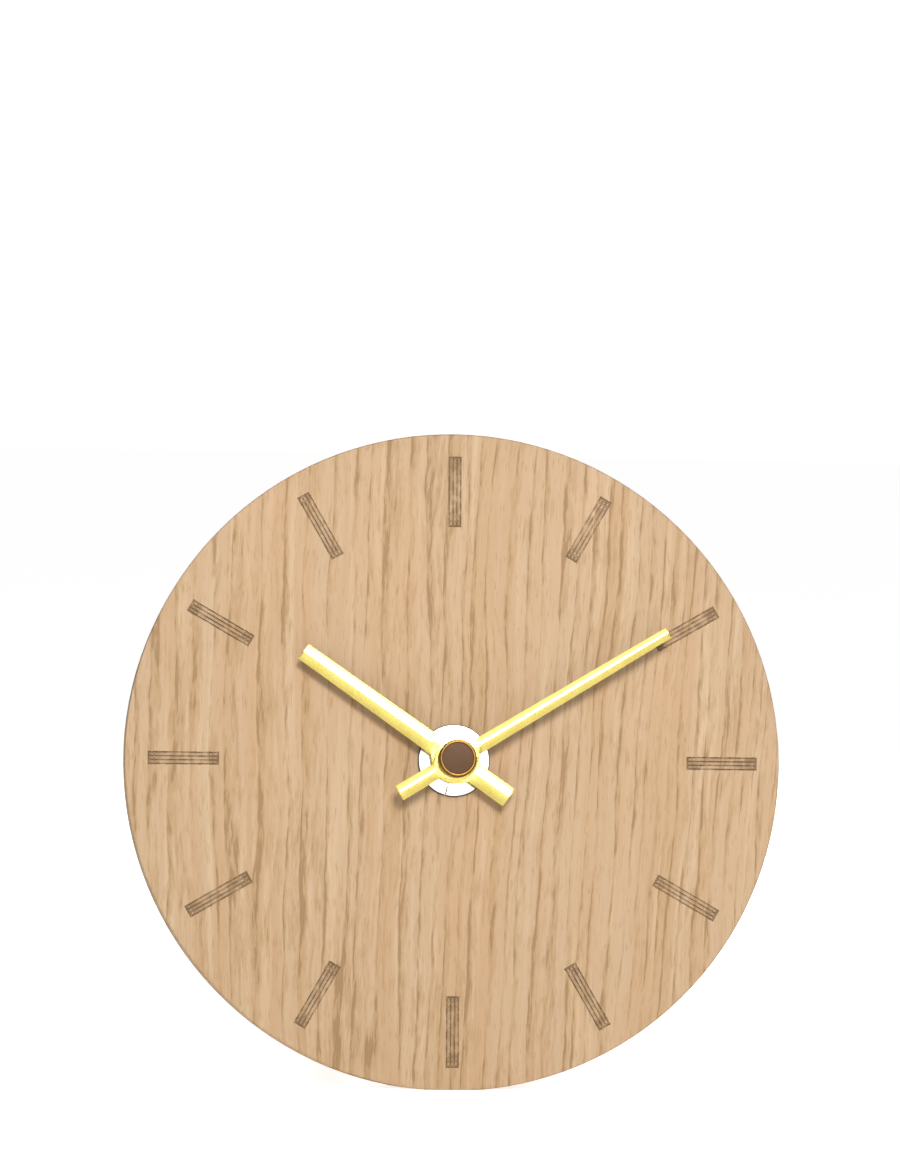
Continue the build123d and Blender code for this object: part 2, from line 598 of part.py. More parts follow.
def front_case():
    case = plate(tub_outline(0), CASE_BACK, CASE_FRONT)
    case = fillet(case.faces().sort_by(Axis.Z)[-1].edges(), 0.5)
    case -= plate(tub_outline(WALL), CASE_BACK - 1, CASE_FLOOR)
    case += block((-CASE_INSIDE, CASE_INSIDE), (DIVIDER_BOTTOM, DIVIDER_TOP), (CASE_BACK, CASE_FLOOR))
    for at in PLATE_SCREWS:
        case += rod(1.8, GEAR_PLATE_Z[1], CASE_FLOOR, at) - rod(0.8, GEAR_PLATE_Z[1] - 1, -4, at)
    case -= rod(5.5, -20, 5)
    case += rod(0.6, MINUTE_WHEEL_Z[0] - 0.3, CASE_FLOOR, MINUTE_WHEEL_AT)
    case += rod(1.2, CASE_FLOOR - 0.2, CASE_FLOOR, MINUTE_WHEEL_AT)
    case -= rod(PIVOT_RADIUS + RUNNING_GAP, -4, CASE_FLOOR + 0.7, THIRD_AT)
    case += rod(1.4, CASE_FLOOR - 0.3, CASE_FLOOR, KNOB_AT)
    case -= rod(0.6 + RUNNING_GAP, -4, CASE_FLOOR + 0.6, KNOB_AT)
    # Finger notch that lets the battery be pushed out from behind.
    case -= block((-9, 9), (-MOVEMENT_SIZE / 2 - 1, -CASE_INSIDE + 0.01), (CASE_BACK - 1, CASE_BACK + 4))
    for side in (-1, 1):
        # Slots in the divider for the tails of the battery contacts.
        slot_x = tuple(sorted((side * (CASE_INSIDE - 1.6), side * CASE_INSIDE)))
        slot_z = (BOARD_Z[0] - 1.8, BOARD_Z[0] + 0.2)
        case -= block(slot_x, (DIVIDER_BOTTOM - 1, DIVIDER_TOP + 1), slot_z)
    return case


def threaded_bushing():
    tube = rod(BUSHING_RADIUS, CASE_FLOOR, DIAL_THICKNESS + 3.6)
    tube = chamfer(tube.edges().sort_by(Axis.Z)[-1:], 0.4)
    tube += rod(5.5, CASE_FLOOR, CASE_FRONT)
    return tube - rod(HOUR_TUBE_RADIUS + RUNNING_GAP, -10, 30)


def gear_plate():
    sheet = plate(Pos(0, 7.2) * RectangleRounded(48.0, 34.0, 2.0), *GEAR_PLATE_Z)
    sheet -= rod(PIVOT_ARBOR_RADIUS + RUNNING_GAP, -20, 0)
    for at in (THIRD_AT, FIFTH_AT, ROTOR_AT):
        sheet -= rod(PIVOT_RADIUS + RUNNING_GAP, -20, 0, at)
    sheet -= rod(1.1 + RUNNING_GAP, -20, 0, KNOB_AT)
    for at in PLATE_SCREWS:
        sheet -= rod(0.85, -20, 0, at)
    for at in MOTOR_SCREWS:
        sheet += rod(1.6, COIL_CORE_Z[1], GEAR_PLATE_Z[0], at) - rod(0.8, -20, -10.0, at)
    for at in BOARD_SCREWS:
        sheet += rod(1.8, BOARD_Z[1], GEAR_PLATE_Z[0], at) - rod(0.8, -20, -8.0, at)
    return sheet


def plate_screws():
    return joined(
        screw(at, GEAR_PLATE_Z[0], 3.6, 1.5, 0.75, 0.7, towards=1) for at in PLATE_SCREWS)


def rear_cover():
    low_y = DIVIDER_TOP + 0.1
    high_y = CASE_INSIDE - 0.1
    half = CASE_INSIDE - 0.1
    middle = (low_y + high_y) / 2
    outline = Pos(0, middle) * RectangleRounded(2 * half, high_y - low_y, 3.0)
    lid = plate(outline, CASE_BACK, COVER_INSIDE)
    rim = Pos(0, middle) * RectangleRounded(2 * half, high_y - low_y, 3.0)
    rim -= Pos(0, middle) * RectangleRounded(2 * half - 1.6, high_y - low_y - 1.6, 2.2)
    lid += plate(rim, COVER_INSIDE, COVER_INSIDE + 0.5)
    for at in (CENTRE, FIFTH_AT, ROTOR_AT):
        pivot_hole = rod(PIVOT_RADIUS + RUNNING_GAP, COVER_INSIDE + 0.1, 0, at)
        lid += rod(1.5, COVER_INSIDE, BOSS_TOP, at) - pivot_hole
    lid -= rod(1.1 + RUNNING_GAP, -30, 0, KNOB_AT)
    for at in COVER_SCREWS:
        lid += rod(1.9, COVER_INSIDE, GEAR_PLATE_Z[0] - 0.5, at)
        lid -= rod(0.8, -30, 0, at)
        lid -= rod(1.7, CASE_BACK - 1, CASE_BACK + 0.7, at)
    # A low moulded ring round the knob.
    lid += rod(8.6, CASE_BACK - 0.3, CASE_BACK, KNOB_AT, bore=7.8)
    return lid


def cover_screws():
    return joined(
        screw(at, CASE_BACK + 0.7, 6.4, 1.6, 0.8, 0.6, towards=1) for at in COVER_SCREWS)


# ---------------------------------------------------------------- legs and hanger
def leg_end():
    """How far behind the dial a rubber tip reaches when its round edge touches the ground."""
    edge_y = LEG_Y + DIAL_RADIUS - (LEG_TIP_RADIUS - LEG_TIP_ROUND)
    drop = edge_y * cos(radians(LEAN)) - LEG_TIP_ROUND - GROUND
    return LEG_TIP_ROUND + drop / sin(radians(LEAN))


LEG_END = leg_end()


def leg(side):
    """A turned oak peg with a slight taper and a turned-down end for its rubber tip."""
    seat = -LEG_END + LEG_TIP_LENGTH
    outline = Polyline((0, 0), (LEG_RADIUS, 0), (LEG_TIP_RADIUS, seat), (LEG_END_RADIUS, seat),
                       (LEG_END_RADIUS, -LEG_END + 1.6), (0, -LEG_END + 1.6), close=True)
    peg = revolve(make_face(Plane.XZ * outline), Axis.Z)
    peg -= rod(STUD_RADIUS, INSERT_DEPTH - STUD_LENGTH, 1)
    return Pos(side * LEG_SPREAD, LEG_Y) * peg


def leg_tip(side):
    at = (side * LEG_SPREAD, LEG_Y)
    tip = rod(LEG_TIP_RADIUS, -LEG_END, -LEG_END + LEG_TIP_LENGTH, at)
    tip = fillet(tip.edges().sort_by(Axis.Z)[:1], LEG_TIP_ROUND)
    return tip - rod(LEG_END_RADIUS, -LEG_END + 1.6, 0, at)


def leg_inserts():
    return joined(
        rod(INSERT_RADIUS, 0, INSERT_DEPTH, (side * LEG_SPREAD, LEG_Y), bore=STUD_RADIUS)
        for side in (-1, 1))


def leg_studs():
    return joined(
        rod(STUD_RADIUS, INSERT_DEPTH - STUD_LENGTH + 0.5, INSERT_DEPTH - 0.3,
            (side * LEG_SPREAD, LEG_Y))
        for side in (-1, 1))


def hanger():
    """A saw-tooth wall hanger: a steel strip on two raised feet, toothed along its lower edge."""
    low = -HANGER_STANDOFF - HANGER_THICKNESS
    bottom, top = HANGER_Y - HANGER_HEIGHT / 2, HANGER_Y + HANGER_HEIGHT / 2
    strip = block((-HANGER_WIDTH / 2, HANGER_WIDTH / 2), (bottom, top), (low, -HANGER_STANDOFF))
    tooth_pitch = 2.6
    tooth_side = tooth_pitch / 2**0.5
    for index in range(HANGER_TEETH):
        x = (index - (HANGER_TEETH - 1) / 2) * tooth_pitch
        strip -= Location((x, bottom, 0), (0, 0, 45)) * Box(tooth_side, tooth_side, 10)
    for side in (-1, 1):
        foot_x = tuple(sorted((side * (HANGER_WIDTH / 2 - 7), side * HANGER_WIDTH / 2)))
        strip += block(foot_x, (bottom, top), (-HANGER_STANDOFF, 0))
        strip -= rod(1.0, -10, 1, (side * HANGER_SCREW_X, HANGER_Y))
    return strip


def hanger_screws():
    head_z = -HANGER_STANDOFF - HANGER_THICKNESS
    return joined(
        screw((side * HANGER_SCREW_X, HANGER_Y), head_z, 6.4, 2.2, 0.8, 0.9, towards=1)
        for side in (-1, 1))


# ---------------------------------------------------------------- assembly
def all_parts():
    return {
        "dial": dial(), "dial_gasket": dial_gasket(), "dial_washer": dial_washer(), "dial_nut": dial_nut(),
        "hour_hand": hour_hand(), "minute_hand": minute_hand(), "cap_nut": cap_nut(), "cap_inlay": cap_inlay(),
        "cannon_pinion": cannon_pinion(), "clutch_spring": clutch_spring(), "hour_wheel": hour_wheel(),
        "minute_wheel": minute_wheel(), "knob_pinion": knob_pinion(), "setting_knob": setting_knob(),
        "centre_wheel": centre_wheel(), "third_wheel": third_wheel(), "seconds_wheel": seconds_wheel(),
        "fifth_wheel": fifth_wheel(), "rotor_pinion": rotor_pinion(), "rotor_magnet": rotor_magnet(),
        "stator": stator(), "coil_core": coil_core(), "coil_bobbin": coil_bobbin(),
        "coil_winding": coil_winding(), "motor_screws": motor_screws(),
        "circuit_board": circuit_board(), "chip_cover": chip_cover(), "quartz_crystal": quartz_crystal(),
        "board_screws": board_screws(), "battery": battery(),
        "positive_contact": contact(1), "negative_contact": contact(-1),
        "front_case": front_case(), "threaded_bushing": threaded_bushing(), "gear_plate": gear_plate(),
        "plate_screws": plate_screws(), "rear_cover": rear_cover(), "cover_screws": cover_screws(),
        "left_leg": leg(-1), "right_leg": leg(1), "left_leg_tip": leg_tip(-1), "right_leg_tip": leg_tip(1),
        "leg_inserts": leg_inserts(), "leg_studs": leg_studs(), "hanger": hanger(),
        "hanger_screws": hanger_screws(),
    }


def standing(parts):
    """The move that leans the clock back, faces it to -Y and centres it over the origin."""
    lean_back = Location((0, 0, 0), (90 - LEAN, 0, 0))
    box = Compound(children=[lean_back * part for part in parts.values()]).bounding_box()
    shift = Pos(-(box.min.X + box.max.X) / 2, -(box.min.Y + box.max.Y) / 2, -box.min.Z)
    return shift * lean_back


def main():
    os.makedirs("parts", exist_ok=True)
    parts = all_parts()
    place = standing(parts)
    for name, part in parts.items():
        export_step(place * part, f"parts/{name}.step")
    arbors = {"centre": CENTRE, "minute_wheel": MINUTE_WHEEL_AT, "knob": KNOB_AT, "third": THIRD_AT,
              "fifth": FIFTH_AT, "rotor": ROTOR_AT}
    for name, at in arbors.items():
        spot = (place * Pos(at[0], at[1], 0)).position
        print("arbor", name, *(round(value, 4) for value in spot))
    landmarks = (("rear axis end", (0, 0, -10)), ("flat", (0, -DIAL_RADIUS, 0)),
                 ("hanger", (0, HANGER_Y, 0)))
    for name, at in landmarks:
        print(name, *(round(value, 4) for value in (place * Pos(*at)).position))


main()
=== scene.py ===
import json
from math import atan2, cos, pi, radians, sin, sqrt, tan

import bmesh
import bpy
from mathutils import Matrix, Vector


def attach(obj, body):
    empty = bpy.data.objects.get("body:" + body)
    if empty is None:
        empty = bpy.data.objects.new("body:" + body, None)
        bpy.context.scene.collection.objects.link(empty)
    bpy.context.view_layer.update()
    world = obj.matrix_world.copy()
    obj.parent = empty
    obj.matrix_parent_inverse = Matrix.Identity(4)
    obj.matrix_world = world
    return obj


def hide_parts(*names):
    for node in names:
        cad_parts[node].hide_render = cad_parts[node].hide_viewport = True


# Looks for a small round oak desk clock with folded brass hands and a battery movement.
#
# Pieces are drawn in millimetres in the dial's own frame: x to 3 o'clock, y to 12 o'clock,
# z out of the face, with z = 0 at the back of the dial. DIAL turns that frame into the world's.

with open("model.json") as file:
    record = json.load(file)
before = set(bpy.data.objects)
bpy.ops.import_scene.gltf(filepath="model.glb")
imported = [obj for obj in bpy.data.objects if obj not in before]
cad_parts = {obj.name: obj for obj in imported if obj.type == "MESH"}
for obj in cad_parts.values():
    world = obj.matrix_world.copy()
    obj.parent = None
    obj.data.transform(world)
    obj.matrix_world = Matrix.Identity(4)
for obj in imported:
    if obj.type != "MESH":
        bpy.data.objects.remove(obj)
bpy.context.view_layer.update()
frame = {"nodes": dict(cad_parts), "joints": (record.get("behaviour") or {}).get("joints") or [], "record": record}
nodes = frame["nodes"]
joints = {joint["name"]: joint for joint in frame["joints"]}

MM = 0.001
ARBOR = Vector(joints["minute_hand_turn"]["pos_m"])
INTO = Vector(joints["minute_hand_turn"]["axis"])
TILT = atan2(-INTO.z, INTO.y)                 # how far the dial leans back
DIAL_TURN = pi / 2 - TILT
DIAL = Matrix.Translation(ARBOR) @ Matrix.Rotation(DIAL_TURN, 4, "X") @ Matrix.Scale(MM, 4)
TO_DIAL = DIAL.inverted()
DIAL_THICKNESS = 9.0

SHARP_EDGE = radians(35)             # an edge of a drawn piece that turns more than this is sharp
SHARP_CAD_EDGE = radians(28)         # the same for a CAD node
SAME_POINT = 0.0005                  # points nearer than this are one

HOURS, MINUTES = 10, 9.8             # the time shown at rest

HOUR_MARKS = 12
HOUR_MARK_INNER = 57.2
HOUR_MARK_OUTER = 74.4
HOUR_MARK_WIDTH = 3.1
SCORCH_FADE = 0.12                   # width over which a mark's scorched edge fades out
SCORCH_WANDER = 0.7                  # how far that edge strays in all
BURNER_PITCH = 1.1                   # spacing of the burner's slanting passes at a mark's ends
BURNER_SLANT = 1.2                   # their slope

WASHER_RADIUS = 8.8
WASHER_RIM_SHADE_START = 8.45                   # where the dark grey painted on the washer's rim begins: painted shade standing in for the shadow and dark reflection round its edge
WASHER_SLOT = 194.0                  # bearing of the washer's slot, degrees clockwise from 12
BUSHING_BORE = 4.05                  # clear round the threaded bushing
NUT_FLATS = 9.6                      # the dial nut, across flats

BATTERY_NUB = 1.1                    # how far the positive nub stands out of the battery
CROWN_START = 8.5                    # where the battery's sleeve changes colour, from its middle
CROWN_BAND = 0.9                     # width of the pale band there
SLEEVE_END = 24.1                    # where the sleeve is folded over both ends
COVER_RING = 0.3                     # how far the ring round the knob stands out of the cover
SIGN_RELIEF = 0.25                   # how far the moulded signs do


# ---------------------------------------------------------------- small helpers
def linear(hex_colour):
    """The linear colour that Blender wants, from an sRGB hex value."""
    channels = [int(hex_colour[i:i + 2], 16) / 255 for i in (1, 3, 5)]
    return [c / 12.92 if c <= 0.04045 else ((c + 0.055) / 1.055) ** 2.4 for c in channels] + [1.0]


def feed(tree, node, inputs):
    """Gives each socket a value or a link; a node given as a value stands for its first output."""
    for socket, value in inputs.items():
        if isinstance(value, bpy.types.Node):
            value = value.outputs[0]
        if isinstance(value, bpy.types.NodeSocket):
            tree.links.new(value, node.inputs[socket])
        else:
            node.inputs[socket].default_value = value


def add(tree, kind, inputs=None, **settings):
    """Adds a node with its settings, and feeds its inputs."""
    node = tree.nodes.new(kind)
    for name, value in settings.items():
        setattr(node, name, value)
    feed(tree, node, inputs or {})
    return node


def in_dial(point):
    """A world point in the dial's millimetres."""
    return TO_DIAL @ Vector(point)


def dial_box(name):
    """Lowest and highest corner of a CAD node, in the dial's millimetres."""
    points = [in_dial(vertex.co) for vertex in nodes[name].data.vertices]
    low = Vector([min(point[axis] for point in points) for axis in range(3)])
    high = Vector([max(point[axis] for point in points) for axis in range(3)])
    return low, high


def smooth_step(low, high, value):
    """0 below low, 1 above high and an easy curve between them."""
    share = min(1.0, max(0.0, (value - low) / (high - low)))
    return share * share * (3 - 2 * share)


def mesh_from(points, faces):
    """A mesh from its points and the faces between them."""
    mesh = bpy.data.meshes.new("shape")
    mesh.from_pydata([tuple(point) for point in points], [], faces)
    return mesh


def cleaned(mesh):
    """The mesh with its doubles merged and its faces pointing outwards."""
    shape = bmesh.new()
    shape.from_mesh(mesh)
    bmesh.ops.remove_doubles(shape, verts=shape.verts, dist=SAME_POINT)
    bmesh.ops.dissolve_degenerate(shape, edges=shape.edges, dist=SAME_POINT)
    bmesh.ops.recalc_face_normals(shape, faces=shape.faces)
    shape.to_mesh(mesh)
    shape.free()
    return mesh


def loft(sections):
    """A closed skin over loops of points, each loop the same length, with both ends capped."""
    size = len(sections[0])
    points = [point for section in sections for point in section]
    faces = []
    for row in range(len(sections) - 1):
        for column in range(size):
            here = row * size + column
            beside = row * size + (column + 1) % size
            faces.append((here, beside, beside + size, here + size))
    last = (len(sections) - 1) * size
    faces.append(tuple(range(size)))
    faces.append(tuple(reversed(range(last, last + size))))
    return cleaned(mesh_from(points, faces))


def turned(profile, segments=96):
    """A lathe-turned piece about the arbor direction: profile is a closed loop of (radius, z)."""
    points, faces = [], []
    size = len(profile)
    for step in range(segments):
        angle = 2 * pi * step / segments
        for radius, height in profile:
            points.append((radius * cos(angle), radius * sin(angle), height))
        following = (step + 1) % segments
        for row in range(size):
            below = (row + 1) % size
            faces.append((step * size + row, following * size + row,
                          following * size + below, step * size + below))
    return cleaned(mesh_from(points, faces))


def box(xs, ys, zs):
    """A block between two values on each axis."""
    points = [(x, y, z) for x in xs for y in ys for z in zs]
    faces = [(0, 1, 3, 2), (4, 6, 7, 5), (0, 4, 5, 1), (2, 3, 7, 6), (0, 2, 6, 4), (1, 5, 7, 3)]
    return cleaned(mesh_from(points, faces))


def prism(outline, low, high):
    """A flat outline of (x, y) points raised from one height to another."""
    return loft([[(x, y, level) for x, y in outline] for level in (low, high)])


def shaped(mesh, *steps):
    """The mesh after modifiers: each step is (modifier type, its settings)."""
    worker = bpy.data.objects.new("worker", mesh)
    bpy.context.scene.collection.objects.link(worker)
    for kind, settings in steps:
        modifier = worker.modifiers.new(kind, kind)
        for name, value in settings.items():
            setattr(modifier, name, value)
    finished = worker.evaluated_get(bpy.context.evaluated_depsgraph_get())
    made = bpy.data.meshes.new_from_object(finished)
    bpy.data.objects.remove(worker)
    return made


def cut(mesh, *tools):
    """The mesh with other closed meshes cut out of it."""
    for tool in tools:
        cutter = bpy.data.objects.new("cutter", tool)
        bpy.context.scene.collection.objects.link(cutter)
        mesh = shaped(mesh, ("BOOLEAN", {"operation": "DIFFERENCE", "solver": "EXACT",
                                         "object": cutter}))
        bpy.data.objects.remove(cutter)
    return mesh


def joined(*meshes):
    """Several meshes as one."""
    shape = bmesh.new()
    for mesh in meshes:
        shape.from_mesh(mesh)
    made = bpy.data.meshes.new("joined")
    shape.to_mesh(made)
    shape.free()
    return made


def eased(mesh, width):
    """The mesh with its sharp edges rounded."""
    return shaped(mesh, ("BEVEL", {"width": width, "segments": 2, "limit_method": "ANGLE",
                                   "angle_limit": SHARP_EDGE, "harden_normals": False}))


def piece(name, mesh, body, material, replaced):
    """A finished piece: mesh in the dial's millimetres, put in the world on a CAD body."""
    mesh.transform(DIAL)
    mesh.name = name
    mesh.shade_smooth()
    mesh.set_sharp_from_angle(angle=SHARP_EDGE)
    mesh.materials.clear()
    mesh.materials.append(material)
    made = bpy.data.objects.new(name, mesh)
    bpy.context.scene.collection.objects.link(made)
    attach(made, body)
    if replaced:
        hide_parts(*replaced)
    return made


# ---------------------------------------------------------------- materials
def new_material(name):
    """An empty material with its shader and output, and the dial's coordinates in millimetres."""
    material = bpy.data.materials.new(name)
    material.use_nodes = True
    tree = material.node_tree
    tree.nodes.clear()
    shader = add(tree, "ShaderNodeBsdfPrincipled")
    add(tree, "ShaderNodeOutputMaterial", {"Surface": shader})
    coordinates = add(tree, "ShaderNodeTexCoord")
    place = add(tree, "ShaderNodeMapping", {
        "Vector": coordinates.outputs["Object"], "Location": ARBOR,
        "Rotation": (DIAL_TURN, 0, 0), "Scale": (MM, MM, MM)}, vector_type="TEXTURE")
    return material, tree, shader, place


# Oak layers: name, size across and along the grain in mm, the noise range over which the layer
# comes in, its colour and its strength.
OAK_LAYERS = (
    ("soft bands", 4.5, 160.0, (0.38, 0.66), "#B28F68", 0.55),
    ("pale bands", 2.4, 90.0, (0.50, 0.70), "#C7AE8E", 0.45),
    ("warm cast", 16.0, 70.0, (0.42, 0.72), "#BB9672", 0.30),
    ("fibres", 0.28, 14.0, (0.40, 0.75), "#A88A66", 0.30),
    ("loose pores", 0.45, 4.5, (0.60, 0.70), "#927148", 0.40),
)
# The grain is upright at the first place across the board and leans by the last value at the second.
OAK_LEAN = (-60.0, 50.0, 0.075)
OAK_WANDER = ((22.0, 55.0, 5.0), (5.0, 16.0, 0.9), (2.0, 3.5, 0.45))   # width, length and reach in mm
OAK_RING = (0.24, 0.0007)            # growth rings in each mm, and how much that rises to the right
OAK_RING_JITTER = 2.6                # how many rings the spacing strays by
OAK_DASH = (0.85, 7.5)               # a pore row's width and length in mm
OAK_PORE_DEPTH = 0.1                 # in mm
# The two tones of a ring: where each comes in, its colour and its strength.
OAK_RING_TONES = (((0.37, 0.57), "#A38257", 0.50), ((0.57, 0.74), "#856541", 0.62))


def oak(name, base, grain_turn=0.0, marks=False):
    # White oak, planed, sanded and left with a thin matt oil: growth rings seen as ragged rows of
    # short dark pores along the grain, a pale even ground between them, and almost no shine.
    material, tree, shader, dial_mm = new_material(name)
    wood = dial_mm
    if grain_turn:
        wood = add(tree, "ShaderNodeMapping", {"Vector": dial_mm, "Rotation": (grain_turn, 0, 0)})
    parts = add(tree, "ShaderNodeSeparateXYZ", {"Vector": wood})
    # The grain leans a few degrees towards the right edge of the board, and wanders a little.
    x, y, z = parts.outputs
    upright, leaning, slope = OAK_LEAN
    lean = add(tree, "ShaderNodeMapRange", {"Value": x, "From Min": upright, "From Max": leaning,
                                            "To Min": 0.0, "To Max": slope})
    shift = add(tree, "ShaderNodeMath", {0: y, 1: lean}, operation="MULTIPLY")
    for wide, long, reach in OAK_WANDER:
        scale = (1 / wide, 1 / long, 1 / wide)
        drift = add(tree, "ShaderNodeMapping", {"Vector": wood, "Scale": scale})
        wander = add(tree, "ShaderNodeTexNoise", {"Vector": drift, "Scale": 1.0, "Detail": 1.0})
        shift = add(tree, "ShaderNodeMath", {0: wander, 1: -reach, 2: shift}, operation="MULTIPLY_ADD")
    across = add(tree, "ShaderNodeMath", {0: x, 1: shift}, operation="SUBTRACT")
    grain = add(tree, "ShaderNodeCombineXYZ", {"X": across, "Y": y, "Z": z})
    colour = linear(base)
    layers = {}
    for index, (layer, wide, long, (low, high), tint, strength) in enumerate(OAK_LAYERS):
        stretched = add(tree, "ShaderNodeMapping", {
            "Vector": grain, "Scale": (1 / wide, 1 / long, 1 / (4 * wide)),
            "Location": (17.3 * index, 5.1 * index, 3.7 * index)}, label=layer)
        noise = add(tree, "ShaderNodeTexNoise", {"Vector": stretched, "Scale": 1.0,
                                                 "Detail": 2.0, "Roughness": 0.55})
        layers[layer] = add(tree, "ShaderNodeMapRange", {
            "Value": noise, "From Min": low, "From Max": high, "To Min": 0.0, "To Max": strength},
            interpolation_type="SMOOTHSTEP")
        colour = add(tree, "ShaderNodeMix", {0: layers[layer], 6: colour, 7: linear(tint)},
                     data_type="RGBA").outputs[2]
    # Rings: a saw-tooth across the grain, dark at its start and fading, broken into dashes.
    per_mm, rise = OAK_RING
    thicker = add(tree, "ShaderNodeMath", {0: across, 1: rise, 2: per_mm}, operation="MULTIPLY_ADD")
    count = add(tree, "ShaderNodeMath", {0: across, 1: thicker}, operation="MULTIPLY")
    uneven = add(tree, "ShaderNodeMapping", {"Vector": grain, "Scale": (1 / 7.0, 1 / 200.0, 1 / 30.0)})
    spread = add(tree, "ShaderNodeTexNoise", {"Vector": uneven, "Scale": 1.0, "Detail": 2.0})
    ring = add(tree, "ShaderNodeMath", {0: spread, 1: OAK_RING_JITTER, 2: count},
               operation="MULTIPLY_ADD")
    tooth = add(tree, "ShaderNodeMath", {0: ring}, operation="FRACT")
    row = add(tree, "ShaderNodeMapRange", {"Value": tooth, "From Min": 0.10, "From Max": 0.46,
                                           "To Min": 0.15, "To Max": -0.13})
    onset = add(tree, "ShaderNodeMapRange", {"Value": tooth, "From Min": 0.0, "From Max": 0.06,
                                             "To Min": -0.25, "To Max": 0.0})
    wide, long = OAK_DASH
    scale = (1 / wide, 1 / long, 1 / wide)
    dash_space = add(tree, "ShaderNodeMapping", {"Vector": grain, "Scale": scale})
    dash = add(tree, "ShaderNodeTexNoise", {"Vector": dash_space, "Scale": 1.0, "Detail": 3.0,
                                            "Roughness": 0.6})
    # Some stretches of a ring are full of pores and some nearly bare.
    strength_space = add(tree, "ShaderNodeMapping", {
        "Vector": grain, "Scale": (1 / 6.0, 1 / 45.0, 1 / 20.0), "Location": (31.0, 7.0, 3.0)})
    strong = add(tree, "ShaderNodeTexNoise", {"Vector": strength_space, "Scale": 1.0, "Detail": 2.0})
    stronger = add(tree, "ShaderNodeMath", {0: strong, 1: 0.6, 2: -0.30}, operation="MULTIPLY_ADD")
    crowded = dash
    for share in (row, onset, stronger):
        crowded = add(tree, "ShaderNodeMath", {0: crowded, 1: share}, operation="ADD")
    for (low, high), tint, strength in OAK_RING_TONES:
        pores = add(tree, "ShaderNodeMapRange", {
            "Value": crowded, "From Min": low, "From Max": high, "To Min": 0.0, "To Max": strength},
            interpolation_type="SMOOTHSTEP")
        colour = add(tree, "ShaderNodeMix", {0: pores, 6: colour, 7: linear(tint)},
                     data_type="RGBA").outputs[2]
    if marks:
        colour = burnt_marks(tree, dial_mm, colour)
    rough = add(tree, "ShaderNodeMapRange", {"Value": layers["fibres"], "To Min": 0.62, "To Max": 0.80})
    bump = add(tree, "ShaderNodeBump", {"Height": pores, "Strength": 0.35,
                                        "Distance": OAK_PORE_DEPTH * MM}, invert=True)
    feed(tree, shader, {"Base Color": colour, "Roughness": rough, "Normal": bump,
                        "Specular IOR Level": 0.2})
    return material


